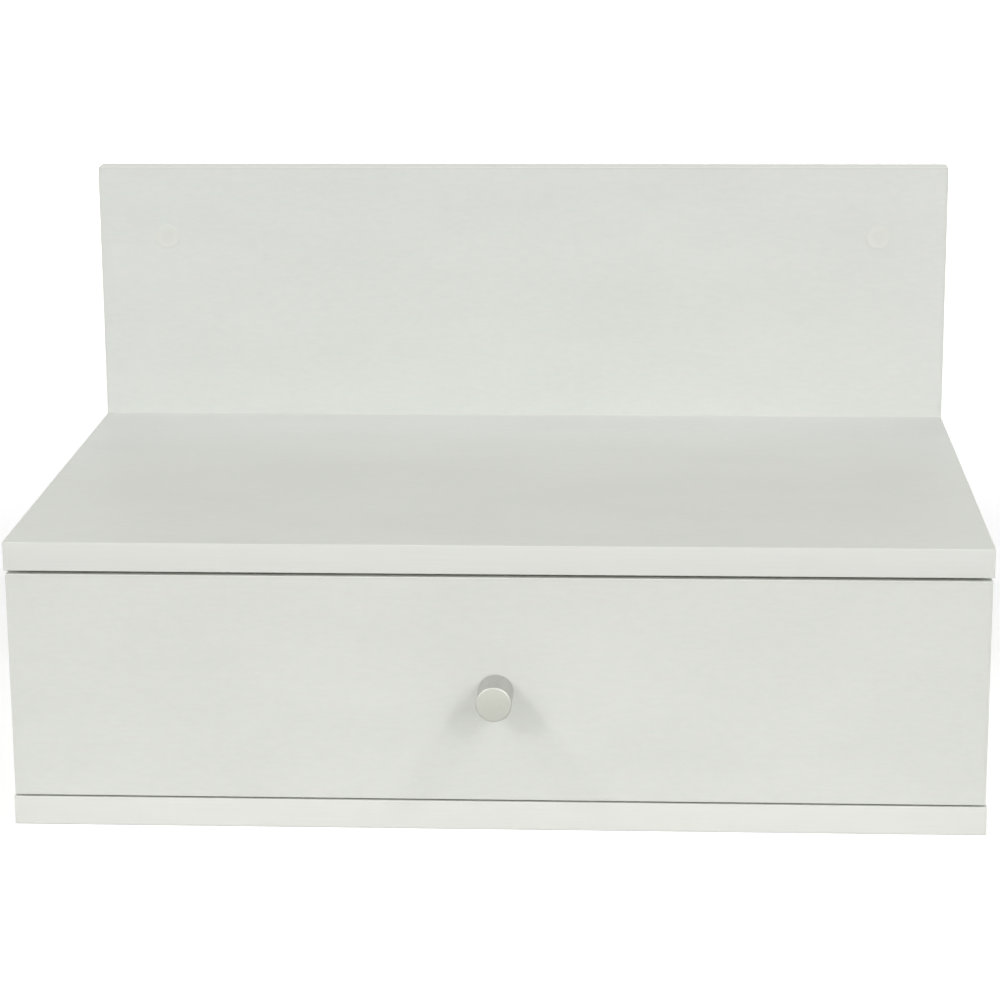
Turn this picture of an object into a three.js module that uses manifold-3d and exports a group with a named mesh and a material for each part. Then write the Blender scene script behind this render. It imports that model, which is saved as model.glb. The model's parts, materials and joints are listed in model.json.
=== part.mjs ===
// Wall-hung nightstand with one drawer: a shelf box of white-faced board on a raised back panel.
// Millimetres, +Z up. The origin is on the wall plane (the rear face of the back panel), at mid width,
// on the line of the two wall screws. The front looks towards -Y and +X is right as seen from the front.
import * as THREE from 'three';
import { mergeVertices } from 'three/addons/utils/BufferGeometryUtils.js';
import Module from 'manifold-3d';

const wasm = await Module();
wasm.setup();

// Carcass
const overallWidth = 500;
const overallHeight = 300; // the back panel, lower edge to upper edge
const shelfDepth = 300; // from the back panel to the front edges
const bodyHeight = 151; // from the underside to the top of the shelf
const boardThickness = 15;
const edgeEase = 0.5; // small chamfer that the edge bands leave
const blindFloor = 2.5; // material left under a blind hole

// Fits
const fitGap = 0.25; // round a piece that is seated in a hole or a groove
const overrun = 2; // how far a cutter runs past the face that it leaves through

// Wall screw holes and their caps
const wallScrewInset = 40; // from the side edges of the back panel
const wallScrewDrop = 41.5; // from its upper edge
const wallScrewHoleRadius = 3.25;
const capSeatRadius = 6;
const capSeatDepth = 9;
const capRimRadius = 7;
const capRimHeight = 0.6;
const capDishRadius = 5.2;
const capDishFloorRadius = 2.6;
const capDishDepth = 0.4;
const capStemLength = 6;
const capWall = 1;

// Long countersunk screws: back panel to shelf and bottom, bottom to sides
const boardScrewLength = 45;
const boardScrewShankRadius = 2;
const boardScrewHeadRadius = 4;
const boardScrewTip = 4;
const backScrewInset = 75; // from the side edges of the back panel
const bottomScrewSetback = 30; // from the ends of the side panels

// Cam fittings and dowels between the sides and the shelf
const camRadius = 7.5;
const camReach = 24; // from the joint to the centre of the cam
const camCrossWidth = 1.25;
const camCrossDepth = 2.5;
const camSetback = 36; // from the ends of the side panels
const boltShankRadius = 3;
const boltNeckRadius = 1.75;
const boltNeckLength = 7.5;
const boltHeadRadius = 3;
const boltHeadLength = 3;
const dowelRadius = 4;
const dowelLength = 30;
const dowelPitch = 32; // from a cam bolt to the dowel beside it

// Drawer box
const frontGapAbove = 1.7;
const frontGapBelow = 1;
const frontSideInset = 0.75; // the front is this much shorter than the shelf at each end
const frontStandoff = 1; // between the closed front and the front edges of the side panels
const drawerSideThickness = 12;
const drawerSideHeight = 85;
const drawerBottomThickness = 3;
const grooveDepth = 4;
const grooveRise = 12; // from the underside of the drawer sides to the groove
const spaceBehindDrawer = 35;
const drawerCamRadius = 6;
const drawerScrewLength = 35;
const drawerScrewShankRadius = 1.75;
const drawerScrewHeadRadius = 3.5;
const drawerScrewTip = 3;
const drawerScrewInset = 18; // from the upper and lower edge of the drawer back

// Knob and its machine screw
const knobDrop = 60; // from the drawer front's upper edge
const knobRadius = 9;
const knobLength = 22;
const knobChamfer = 0.3;
const knobScrewRadius = 2;
const knobThreadDepth = 8;
const knobScrewHeadRadius = 4;
const knobScrewHeadHeight = 2.5;

// Roller runners: a channel on each side panel and an angled member on each drawer side
const runnerSpace = 12.5; // between the side panel and the drawer side
const runnerLift = 9; // from the bottom panel to the channel
const runnerSetback = 2; // from the front edge of the side panel to the channel
const sheet = 1.25; // thickness of the runner steel
const travelLoss = 60; // what stays in of the runner's length when the drawer is fully out
const rollerRadius = 9;
const rollerWidth = 6.5;
const rollerStandoff = 1.5; // between the drawer member's web and its side of the rollers
const rollerEndDistance = 12; // from a member's end to the centre of its roller
const rollerEdge = 0.75;
const rollerRecessRadius = 4.5;
const rollerRecessDepth = 1.25;
const rollPlay = 0.25; // between a roller and the flange that it runs on
const liftPlay = 0.75; // between the running parts and the channel's upper flange
const sidePlay = 0.5; // between the two members, sideways
const axleRadius = 2.5;
const axleGap = 0.1; // round the axle in the roller's bore
const axleShoulderRadius = 4;
const axleHeadRadius = 3.75;
const lipHeight = 2.5;
const stopHeight = 3;
const flangeEndGap = 2; // between the drawer member's riding flange and its own roller
const footInset = 1; // how far the supporting flange stays short of the drawer side's inner face
const slotRadius = 2.25;
const slotLength = 10;
const runnerScrewSetback = 45; // from the ends of a member
const runnerScrewShankRadius = 1.75;
const runnerScrewHeadRadius = 3.5;
const runnerScrewHeadHeight = 1;
const runnerScrewTip = 2;

// Sides of the round pieces
const finePolygon = 32;
const rollerPolygon = 20;
const hardwarePolygon = 10;

// Shares
const panHeadCrownShare = 0.6; // crown of a pan head against its full radius
const panHeadRimShare = 0.5; // rim of a pan head against its full height
const sinkShare = 0.85; // depth of a countersunk head against its radius less the shank's
const slotPlaceShares = [0.36, 0.64]; // along a runner member

// Planes of the carcass
const halfWidth = overallWidth / 2;
const topEdge = wallScrewDrop;
const underside = topEdge - overallHeight;
const shelfTop = underside + bodyHeight;
const shelfUnderside = shelfTop - boardThickness;
const bottomTop = underside + boardThickness;
const backFace = -boardThickness;
const frontPlane = backFace - shelfDepth;
const sideInner = halfWidth - boardThickness;
const sideMiddle = halfWidth - boardThickness / 2;
const drawerPlane = frontPlane + boardThickness;
const sideFront = drawerPlane + frontStandoff;
const wallScrewX = halfWidth - wallScrewInset;

// Planes of the runners and the drawer. The drawer has its own origin at mid width, on the rear face of
// its front and on the underside of its sides; a runner pair has its own on the drawer side's outer
// face, at the bottom of the channel.
const channelFloor = bottomTop + runnerLift;
const drawerFloor = channelFloor + sheet;
const drawerHalf = sideInner - runnerSpace;
const drawerInner = drawerHalf - drawerSideThickness;
const runnerLength = backFace - drawerPlane - spaceBehindDrawer;
const channelHeight = 2 * sheet + 2 * rollerRadius + rollPlay + liftPlay;
const rideTop = channelHeight - sheet - liftPlay;
const rearRollerHeight = sheet + rollPlay + rollerRadius;
const frontRollerHeight = rideTop - sheet - rollPlay - rollerRadius;
const memberScrewHeight = sheet + grooveRise / 2; // midway between the groove and the side's edge
const channelFront = sideFront + runnerSetback;
const frontLow = bottomTop + frontGapBelow - drawerFloor;
const frontHigh = shelfUnderside - frontGapAbove - drawerFloor;
const knobHeight = frontHigh - knobDrop;
const travel = runnerLength - travelLoss;

const up = new THREE.Vector3(0, 1, 0);
const toRight = new THREE.Vector3(1, 0, 0);
const toLeft = new THREE.Vector3(-1, 0, 0);
const toRear = new THREE.Vector3(0, 1, 0);
const toFront = new THREE.Vector3(0, -1, 0);
const skyward = new THREE.Vector3(0, 0, 1);
const downward = new THREE.Vector3(0, 0, -1);

const whiteBoard = new THREE.MeshStandardMaterial({ color: 0xdbded6, roughness: 0.5, flatShading: true });
const hardboard = new THREE.MeshStandardMaterial({ color: 0xd6d8d0, roughness: 0.6, flatShading: true });
const satinMetal = new THREE.MeshStandardMaterial({
  color: 0xc4c5bc, roughness: 0.38, metalness: 0.9, flatShading: true,
});
const capPlastic = new THREE.MeshStandardMaterial({ color: 0xdfe2dc, roughness: 0.4, flatShading: true });
const runnerPaint = new THREE.MeshStandardMaterial({
  color: 0xe6e6e0, roughness: 0.45, metalness: 0.1, flatShading: true,
});
const rollerNylon = new THREE.MeshStandardMaterial({ color: 0xe9e8e2, roughness: 0.55, flatShading: true });
const zinc = new THREE.MeshStandardMaterial({
  color: 0xb9bcc0, roughness: 0.4, metalness: 1, flatShading: true,
});
const beech = new THREE.MeshStandardMaterial({ color: 0xd2b48c, roughness: 0.8, flatShading: true });

// Solids: joining and cutting
function toSolid(geometry) {
  const bare = geometry.clone();
  bare.deleteAttribute('normal');
  bare.deleteAttribute('uv');
  const merged = mergeVertices(bare);
  return new wasm.Manifold(new wasm.Mesh({
    numProp: 3,
    vertProperties: merged.attributes.position.array,
    triVerts: merged.index.array,
  }));
}

function fromSolid(solid) {
  const { vertProperties, triVerts } = solid.getMesh();
  const geometry = new THREE.BufferGeometry();
  geometry.setAttribute('position', new THREE.BufferAttribute(vertProperties, 3));
  geometry.setIndex(new THREE.BufferAttribute(triVerts, 1));
  return geometry;
}

function cut(geometry, ...cutters) {
  return fromSolid(cutters.reduce((rest, cutter) => rest.subtract(toSolid(cutter)), toSolid(geometry)));
}

function join(...geometries) {
  return fromSolid(geometries.map(toSolid).reduce((whole, piece) => whole.add(piece)));
}

// The left-hand twin of a right-hand piece; the corners' order is turned so that faces still point out.
function mirrored(geometry) {
  const twin = geometry.clone().applyMatrix4(new THREE.Matrix4().makeScale(-1, 1, 1));
  const corners = twin.index.array;
  for (let i = 0; i < corners.length; i += 3) {
    [corners[i], corners[i + 1]] = [corners[i + 1], corners[i]];
  }
  return twin;
}

// Basic forms
function block(low, high) {
  const size = new THREE.Vector3().subVectors(high, low);
  const middle = new THREE.Vector3().addVectors(low, high).multiplyScalar(0.5);
  return new THREE.BoxGeometry(size.x, size.y, size.z).translate(middle.x, middle.y, middle.z);
}

// A board between two corners, its long edges eased on both faces. thin is the axis of its thickness.
function board(low, high, thin) {
  const axes = { x: ['y', 'z', 'x'], y: ['z', 'x', 'y'], z: ['x', 'y', 'z'] }[thin];
  const size = new THREE.Vector3().subVectors(high, low);
  const [across, along, through] = axes.map((axis) => size[axis]);
  const face = new THREE.Shape();
  face.moveTo(0, 0);
  face.lineTo(across, 0);
  face.lineTo(across, along);
  face.lineTo(0, along);
  face.closePath();
  const unit = { x: toRight, y: toRear, z: skyward };
  const turn = new THREE.Matrix4().makeBasis(...axes.map((axis) => unit[axis]));
  return new THREE.ExtrudeGeometry(face, {
    depth: through - 2 * edgeEase,
    bevelThickness: edgeEase,
    bevelSize: edgeEase,
    bevelOffset: -edgeEase,
    bevelSegments: 1,
  }).translate(0, 0, edgeEase).applyMatrix4(turn).translate(low.x, low.y, low.z);
}

function at(x, y, z) {
  return new THREE.Vector3(x, y, z);
}

// A turned piece: pairs of radius and height round the +Y axis
function turned(profile, sides) {
  const points = profile.map(([radius, height]) => new THREE.Vector2(radius, height));
  return new THREE.LatheGeometry(points, sides);
}

function aimed(geometry, place, direction) {
  const turn = new THREE.Quaternion().setFromUnitVectors(up, direction);
  const unscaled = new THREE.Vector3(1, 1, 1);
  return geometry.clone().applyMatrix4(new THREE.Matrix4().compose(place, turn, unscaled));
}

// A round hole from the given place along a direction; it also runs out behind that place.
function drilled(radius, depth, place, direction, sides = rollerPolygon) {
  const tool = new THREE.CylinderGeometry(radius, radius, depth + overrun, sides);
  return aimed(tool.translate(0, (depth - overrun) / 2, 0), place, direction);
}

// A section in X and Z, drawn at the front end and run towards the rear
function runBack(points, length) {
  const section = new THREE.Shape(points.map(([x, z]) => new THREE.Vector2(x, z)));
  const turn = new THREE.Matrix4().makeBasis(toRight, skyward, toFront);
  return new THREE.ExtrudeGeometry(section, { depth: length, bevelEnabled: false })
    .applyMatrix4(turn).translate(0, length, 0);
}

function piece(name, geometry, material) {
  const mesh = new THREE.Mesh(geometry, material);
  mesh.name = name;
  return mesh;
}

// Fixings. Each entry holds a piece's name, profile, place and direction, so the piece and the holes
// that it needs come from the same values. A profile grows by the gap that it is given.
function countersunk(length, shank, head, tip) {
  const sink = (head - shank) * sinkShare;
  return (gap) => [
    [0, gap ? -overrun : 0],
    [head + gap, gap ? -overrun : 0],
    [head + gap, gap],
    [shank + gap, sink + gap],
    [shank + gap, length - tip],
    [0, length + gap],
  ];
}

function panHead(length, shank, head, height, tip) {
  return (gap) => [
    [0, -height - gap],
    [(head + gap) * panHeadCrownShare, -height - gap],
    [head + gap, -height * panHeadRimShare - gap],
    [head + gap, 0],
    [shank + gap, 0],
    [shank + gap, length - tip],
    [0, length + gap],
  ];
}

function machineScrew(gap) {
  const length = boardThickness + knobThreadDepth;
  return [
    [0, -knobScrewHeadHeight - gap],
    [knobScrewHeadRadius * panHeadCrownShare + gap, -knobScrewHeadHeight - gap],
    [knobScrewHeadRadius + gap, -knobScrewHeadHeight * panHeadRimShare - gap],
    [knobScrewHeadRadius + gap, 0],
    [knobScrewRadius + gap, 0],
    [knobScrewRadius + gap, length + gap],
    [0, length + gap],
  ];
}

// The bolt is screwed into a face; its head is caught in the cam at the given reach beyond the joint.
function camBolt(gap) {
  const root = boardThickness - blindFloor - fitGap;
  const headStart = camReach - boltHeadLength / 2;
  const headEnd = camReach + boltHeadLength / 2;
  if (gap) {
    return [
      [0, -root - gap],
      [boltShankRadius + gap, -root - gap],
      [boltShankRadius + gap, headEnd + gap],
      [0, headEnd + gap],
    ];
  }
  return [
    [0, -root],
    [boltShankRadius, -root],
    [boltShankRadius, headStart - boltNeckLength],
    [boltNeckRadius, headStart - boltNeckLength],
    [boltNeckRadius, headStart],
    [boltHeadRadius, headStart],
    [boltHeadRadius, headEnd],
    [0, headEnd],
  ];
}

function dowelPin(gap) {
  const root = boardThickness - blindFloor - fitGap;
  const rest = dowelLength - root;
  return [
    [0, -root - gap],
    [dowelRadius - edgeEase + gap, -root - gap],
    [dowelRadius + gap, edgeEase - root - gap],
    [dowelRadius + gap, rest - edgeEase + gap],
    [dowelRadius - edgeEase + gap, rest + gap],
    [0, rest + gap],
  ];
}

function fixing(name, profile, place, direction, material = zinc) {
  return { name, profile, place, direction, material };
}

function fixingPiece({ name, profile, place, direction, material }) {
  const mesh = piece(name, turned(profile(0), hardwarePolygon), material);
  mesh.position.copy(place);
  mesh.quaternion.setFromUnitVectors(up, direction);
  return mesh;
}

function holeFor({ profile, place, direction }) {
  return aimed(turned(profile(fitGap), hardwarePolygon), place, direction);
}

const boardScrew = countersunk(
  boardScrewLength, boardScrewShankRadius, boardScrewHeadRadius, boardScrewTip,
);
const drawerScrew = countersunk(
  drawerScrewLength, drawerScrewShankRadius, drawerScrewHeadRadius, drawerScrewTip,
);
const runnerScrewInto = (thickness) => panHead(
  sheet + thickness - blindFloor - fitGap,
  runnerScrewShankRadius, runnerScrewHeadRadius, runnerScrewHeadHeight, runnerScrewTip,
);

const hands = [['left', -1], ['right', 1]];
const sideEnds = [['front', sideFront, 1], ['rear', backFace, -1]]; // the last value points inwards

function rowOfBackScrews(row, height) {
  const reach = halfWidth - backScrewInset;
  return [['left', -reach], ['middle', 0], ['right', reach]].map(([column, x]) => fixing(
    `back_screw_${row}_${column}`, boardScrew, at(x, 0, height), toFront,
  ));
}

const shelfBackScrews = rowOfBackScrews('upper', shelfTop - boardThickness / 2);
const bottomBackScrews = rowOfBackScrews('lower', underside + boardThickness / 2);

function alongSides(name, profile, setback, height, direction, material) {
  return hands.flatMap(([hand, sign]) => sideEnds.map(([end, edge, inwards]) => ({
    ...fixing(
      `${name}_${hand}_${end}`, profile, at(sign * sideMiddle, edge + inwards * setback, height),
      direction, material,
    ),
    hand,
  })));
}

const bottomScrews = alongSides('bottom_screw', boardScrew, bottomScrewSetback, underside, skyward);
const camBolts = alongSides('cam_bolt', camBolt, camSetback, shelfUnderside, downward);
const dowels = alongSides('dowel', dowelPin, camSetback + dowelPitch, shelfUnderside, downward, beech);

// Cams: a turned disc with a hidden chamber for the bolt's head, a slot for its neck and a cross recess
// in its face. The disc's face is at the origin and its depth runs along +Y; the bolt comes from +Z.
function camDisc(radius, thickness) {
  const depth = thickness - blindFloor - fitGap;
  const axis = thickness / 2;
  const headHalf = boltHeadLength / 2 + fitGap;
  const disc = turned([[0, 0], [radius, 0], [radius, depth], [0, depth]], rollerPolygon);
  const chamber = drilled(
    boltHeadRadius + fitGap, 2 * headHalf, at(0, axis, -headHalf), skyward, hardwarePolygon,
  );
  const chamberEnd = block(
    at(-boltHeadRadius, axis - boltHeadRadius, -camReach),
    at(boltHeadRadius, axis + boltHeadRadius, -headHalf),
  );
  const slot = drilled(
    boltNeckRadius + fitGap, radius + overrun, at(0, axis, 0), skyward, hardwarePolygon,
  );
  const arm = radius * panHeadCrownShare;
  const crossAcross = block(
    at(-arm, -overrun, -camCrossWidth / 2), at(arm, camCrossDepth, camCrossWidth / 2),
  );
  const crossAlong = block(
    at(-camCrossWidth / 2, -overrun, -arm), at(camCrossWidth / 2, camCrossDepth, arm),
  );
  return cut(disc, cut(chamber, chamberEnd), slot, crossAcross, crossAlong);
}

// The bore that a cam sits in, from the board's face inwards along the given direction
function camBore(radius, thickness, place, direction) {
  return drilled(radius + fitGap, thickness - blindFloor, place, direction);
}

function placedCam(name, geometry, place, inwards, towardsBolt) {
  const mesh = piece(name, geometry, zinc);
  mesh.position.copy(place);
  const across = new THREE.Vector3().crossVectors(inwards, towardsBolt);
  mesh.quaternion.setFromRotationMatrix(new THREE.Matrix4().makeBasis(across, inwards, towardsBolt));
  return mesh;
}

// Carcass boards
function backPanel() {
  const panel = board(at(-halfWidth, backFace, underside), at(halfWidth, 0, topEdge), 'y');
  const wallHoles = hands.flatMap(([, sign]) => [
    drilled(wallScrewHoleRadius, boardThickness + overrun, at(sign * wallScrewX, backFace, 0), toRear),
    drilled(capSeatRadius, capSeatDepth, at(sign * wallScrewX, backFace, 0), toRear),
  ]);
  const screwHoles = [...shelfBackScrews, ...bottomBackScrews].map(holeFor);
  return piece('back_panel', cut(panel, ...wallHoles, ...screwHoles), whiteBoard);
}

function shelfPanel() {
  const panel = board(at(-halfWidth, frontPlane, shelfUnderside), at(halfWidth, backFace, shelfTop), 'z');
  const holes = [...shelfBackScrews, ...camBolts, ...dowels].map(holeFor);
  return piece('shelf_panel', cut(panel, ...holes), whiteBoard);
}

function bottomPanel() {
  const panel = board(at(-halfWidth, frontPlane, underside), at(halfWidth, backFace, bottomTop), 'z');
  const holes = [...bottomBackScrews, ...bottomScrews].map(holeFor);
  return piece('bottom_panel', cut(panel, ...holes), whiteBoard);
}

function sidePanel(hand, sign, runnerScrews) {
  const inner = sign * sideInner;
  const outer = sign * halfWidth;
  const panel = board(
    at(Math.min(inner, outer), sideFront, bottomTop),
    at(Math.max(inner, outer), backFace, shelfUnderside),
    'x',
  );
  const mine = (entry) => entry.hand === hand;
  const outwards = sign > 0 ? toRight : toLeft;
  const camBores = camBolts.filter(mine).map(({ place }) => (
    camBore(camRadius, boardThickness, at(inner, place.y, shelfUnderside - camReach), outwards)
  ));
  const holes = [...camBolts, ...dowels, ...bottomScrews].filter(mine).concat(runnerScrews).map(holeFor);
  return piece(`side_panel_${hand}`, cut(panel, ...camBores, ...holes), whiteBoard);
}

function sideCams() {
  const disc = camDisc(camRadius, boardThickness);
  return camBolts.map(({ name, place, hand }) => {
    const sign = hand === 'right' ? 1 : -1;
    const outwards = sign > 0 ? toRight : toLeft;
    const centre = at(sign * sideInner, place.y, shelfUnderside - camReach);
    return placedCam(name.replace('cam_bolt', 'cam'), disc, centre, outwards, skyward);
  });
}

// A cap over a wall screw hole: a rim round a shallow dish, and a hollow stem pressed into the seat.
function wallScrewCap(hand, sign) {
  const stem = capSeatRadius - fitGap;
  const lid = capRimHeight - capDishDepth;
  const cap = turned([
    [0, lid - capWall],
    [stem - capWall, lid - capWall],
    [stem - capWall, -capStemLength],
    [stem, -capStemLength],
    [stem, 0],
    [capRimRadius, 0],
    [capRimRadius, capRimHeight - edgeEase],
    [capRimRadius - edgeEase, capRimHeight],
    [capDishRadius, capRimHeight],
    [capDishFloorRadius, lid],
    [0, lid],
  ], rollerPolygon);
  const mesh = piece(`wall_screw_cap_${hand}`, cap, capPlastic);
  mesh.position.set(sign * wallScrewX, backFace, 0);
  mesh.quaternion.setFromUnitVectors(up, toFront);
  return mesh;
}

// Runners. Both members are drawn for the right-hand side in the runner pair's own frame, where x
// runs from the drawer side's outer face towards the side panel.
const memberFace = sheet + rollerStandoff; // the rollers' face on the drawer side
const channelWebFace = runnerSpace - sheet;

// An axle fused with its web: a shoulder, the journal and a riveted head in the roller's recess
function axle(webToRoller) {
  const headStart = webToRoller + rollerWidth - rollerRecessDepth + fitGap;
  return turned([
    [0, -sheet / 2],
    [axleShoulderRadius, -sheet / 2],
    [axleShoulderRadius, webToRoller - fitGap],
    [axleRadius, webToRoller - fitGap],
    [axleRadius, headStart],
    [axleHeadRadius, headStart],
    [axleHeadRadius, webToRoller + rollerWidth],
    [0, webToRoller + rollerWidth],
  ], rollerPolygon);
}

function rollerDisc() {
  const bore = axleRadius + axleGap;
  const tread = rollerRadius - rollerEdge;
  return turned([
    [bore, 0],
    [tread, 0],
    [rollerRadius, rollerEdge],
    [rollerRadius, rollerWidth - rollerEdge],
    [tread, rollerWidth],
    [rollerRecessRadius, rollerWidth],
    [rollerRecessRadius, rollerWidth - rollerRecessDepth],
    [bore, rollerWidth - rollerRecessDepth],
    [bore, 0],
  ], rollerPolygon);
}

function placedRoller(name, sign, distance, place, awayFromWeb) {
  const mesh = piece(name, rollerDisc(), rollerNylon);
  mesh.position.set(sign * (drawerHalf + distance), place.y, place.z);
  mesh.quaternion.setFromUnitVectors(up, awayFromWeb);
  return mesh;
}

// Adjusting slots in a member's web, between its two screws
function webSlots(webX, height) {
  return slotPlaceShares.map((share) => {
    const middle = runnerLength * share;
    const half = (slotLength - 2 * slotRadius) / 2;
    const ends = [middle - half, middle + half].map((y) => (
      drilled(slotRadius, sheet + overrun, at(webX, y, height), toRight, hardwarePolygon)
    ));
    const waist = block(
      at(webX - overrun, middle - half, height - slotRadius),
      at(webX + sheet + overrun, middle + half, height + slotRadius),
    );
    return join(...ends, waist);
  });
}

function runnerScrewPlaces() {
  return [['front', runnerScrewSetback], ['rear', runnerLength - runnerScrewSetback]];
}

// The channel on the side panel: web outside, flanges towards the drawer, the lower one cut away
// for the front roller and turned up into a stop behind it.
const restOfRearRoller = runnerLength - rollerEndDistance; // from the drawer member's front end
const stopContact = Math.sqrt(rollerRadius ** 2 - (rollerRadius + rollPlay - stopHeight) ** 2);
const channelOffset = channelFront - drawerPlane; // the channel starts behind the drawer member's end
const stopFace = restOfRearRoller - travel - stopContact - fitGap - channelOffset;

function channelMember() {
  const tip = sheet + sidePlay;
  const inner = channelWebFace;
  const section = [
    [tip, 0], [runnerSpace, 0], [runnerSpace, channelHeight], [tip, channelHeight],
    [tip, channelHeight - sheet], [inner, channelHeight - sheet], [inner, sheet], [tip, sheet],
  ];
  const rollerGap = block(
    at(-overrun, -overrun, -overrun), at(inner, stopFace - sheet, sheet + overrun),
  );
  const stop = block(at(memberFace, stopFace - sheet, 0), at(inner, stopFace, sheet + stopHeight));
  const pin = aimed(
    axle(inner - memberFace - rollerWidth),
    at(inner, rollerEndDistance, frontRollerHeight), toLeft,
  );
  const screwHoles = runnerScrewPlaces().map(([, y]) => (
    drilled(
      runnerScrewShankRadius + fitGap, sheet + overrun, at(inner, y, rearRollerHeight), toRight,
      hardwarePolygon,
    )
  ));
  const channel = cut(
    runBack(section, runnerLength), rollerGap, ...screwHoles, ...webSlots(inner, rearRollerHeight),
  );
  return join(channel, stop, pin);
}

// The member on the drawer side: a foot under the side, a web, and a flange with a lip that rides
// on the front roller and ends before its own rear roller.
function drawerMember() {
  const foot = -(drawerSideThickness - footInset);
  const lipInner = memberFace + rollerWidth + fitGap;
  const lipOuter = lipInner + sheet;
  const section = [
    [foot, 0], [sheet, 0], [sheet, rideTop - sheet], [lipInner, rideTop - sheet],
    [lipInner, rideTop - sheet - lipHeight], [lipOuter, rideTop - sheet - lipHeight],
    [lipOuter, rideTop], [0, rideTop], [0, sheet], [foot, sheet],
  ];
  const rollerFront = restOfRearRoller - rollerRadius - flangeEndGap;
  const flangeEnd = block(
    at(sheet, rollerFront, -overrun), at(runnerSpace, runnerLength + overrun, channelHeight),
  );
  const pin = aimed(
    axle(rollerStandoff), at(sheet, restOfRearRoller, rearRollerHeight), toRight,
  );
  const screwHoles = runnerScrewPlaces().map(([, y]) => (
    drilled(
      runnerScrewShankRadius + fitGap, sheet + overrun, at(0, y, memberScrewHeight), toRight,
      hardwarePolygon,
    )
  ));
  const angle = cut(
    runBack(section, runnerLength), flangeEnd, ...screwHoles, ...webSlots(0, rearRollerHeight),
  );
  return join(angle, pin);
}

function channelScrews(hand, sign) {
  return runnerScrewPlaces().map(([end, y]) => fixing(
    `channel_screw_${hand}_${end}`, runnerScrewInto(boardThickness),
    at(sign * (drawerHalf + channelWebFace), channelFront + y, channelFloor + rearRollerHeight),
    sign > 0 ? toRight : toLeft,
  ));
}

// In the drawer's own frame
function memberScrews(hand, sign) {
  return runnerScrewPlaces().map(([end, y]) => fixing(
    `drawer_runner_screw_${hand}_${end}`, runnerScrewInto(drawerSideThickness),
    at(sign * (drawerHalf + sheet), y, memberScrewHeight - sheet),
    sign > 0 ? toLeft : toRight,
  ));
}

function carcass() {
  const group = new THREE.Group();
  group.add(backPanel(), shelfPanel(), bottomPanel());
  group.add(...sideCams());
  group.add(...[...shelfBackScrews, ...bottomBackScrews].map(fixingPiece));
  group.add(...[...bottomScrews, ...camBolts, ...dowels].map(fixingPiece));
  const channel = channelMember();
  for (const [hand, sign] of hands) {
    const screws = channelScrews(hand, sign);
    const runner = piece(`channel_runner_${hand}`, sign > 0 ? channel : mirrored(channel), runnerPaint);
    runner.position.set(sign * drawerHalf, channelFront, channelFloor);
    const rollerPlace = at(0, channelFront + rollerEndDistance, channelFloor + frontRollerHeight);
    group.add(
      sidePanel(hand, sign, screws),
      wallScrewCap(hand, sign),
      runner,
      placedRoller(
        `front_roller_${hand}`, sign, memberFace + rollerWidth, rollerPlace,
        sign > 0 ? toLeft : toRight,
      ),
      ...screws.map(fixingPiece),
    );
  }
  return group;
}

// Drawer pieces, in the drawer's own frame
const knobPlace = at(0, -boardThickness, knobHeight);
const knobScrewFixing = fixing('knob_screw', machineScrew, at(0, 0, knobHeight), toFront);
const drawerSideMiddle = drawerHalf - drawerSideThickness / 2;
const drawerCamHeight = drawerSideHeight / 2;
const drawerBackFloor = grooveRise + drawerBottomThickness;
const drawerBolts = hands.map(([hand, sign]) => ({
  ...fixing(
    `drawer_cam_bolt_${hand}`, camBolt, at(sign * drawerSideMiddle, 0, drawerCamHeight), toRear,
  ),
  hand,
}));
const drawerBackScrews = hands.flatMap(([hand, sign]) => (
  [['lower', drawerBackFloor + drawerScrewInset], ['upper', drawerSideHeight - drawerScrewInset]]
    .map(([level, height]) => ({
      ...fixing(
        `drawer_back_screw_${hand}_${level}`, drawerScrew,
        at(sign * drawerHalf, runnerLength - drawerSideThickness / 2, height),
        sign > 0 ? toLeft : toRight,
      ),
      hand,
    }))
));

// The groove that holds the bottom, as wide as the bottom and its gap
function bottomGroove(low, high) {
  return block(
    at(low.x, low.y, grooveRise), at(high.x, high.y, grooveRise + drawerBottomThickness + fitGap),
  );
}

function drawerFront() {
  const half = halfWidth - frontSideInset;
  const panel = board(at(-half, -boardThickness, frontLow), at(half, 0, frontHigh), 'y');
  const grooveHalf = drawerInner + grooveDepth;
  const groove = bottomGroove(at(-grooveHalf, -grooveDepth, 0), at(grooveHalf, overrun, 0));
  const holes = [...drawerBolts, knobScrewFixing].map(holeFor);
  return piece('drawer_front', cut(panel, groove, ...holes), whiteBoard);
}

function drawerSide(hand, sign, runnerScrews) {
  const inner = sign * drawerInner;
  const outer = sign * drawerHalf;
  const panel = board(
    at(Math.min(inner, outer), 0, 0),
    at(Math.max(inner, outer), runnerLength, drawerSideHeight),
    'x',
  );
  const grooveEnds = [sign * (drawerInner - overrun), sign * (drawerInner + grooveDepth)];
  const groove = bottomGroove(
    at(Math.min(...grooveEnds), -overrun, 0), at(Math.max(...grooveEnds), runnerLength + overrun, 0),
  );
  const inwards = sign > 0 ? toLeft : toRight;
  const cam = camBore(
    drawerCamRadius, drawerSideThickness, at(outer, camReach, drawerCamHeight), inwards,
  );
  const mine = [...drawerBolts, ...drawerBackScrews].filter((entry) => entry.hand === hand);
  const holes = [...mine, ...runnerScrews].map(holeFor);
  return piece(`drawer_side_${hand}`, cut(panel, groove, cam, ...holes), whiteBoard);
}

function drawerBack() {
  const panel = board(
    at(-drawerInner, runnerLength - drawerSideThickness, drawerBackFloor),
    at(drawerInner, runnerLength, drawerSideHeight),
    'y',
  );
  return piece('drawer_back', cut(panel, ...drawerBackScrews.map(holeFor)), whiteBoard);
}

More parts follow.
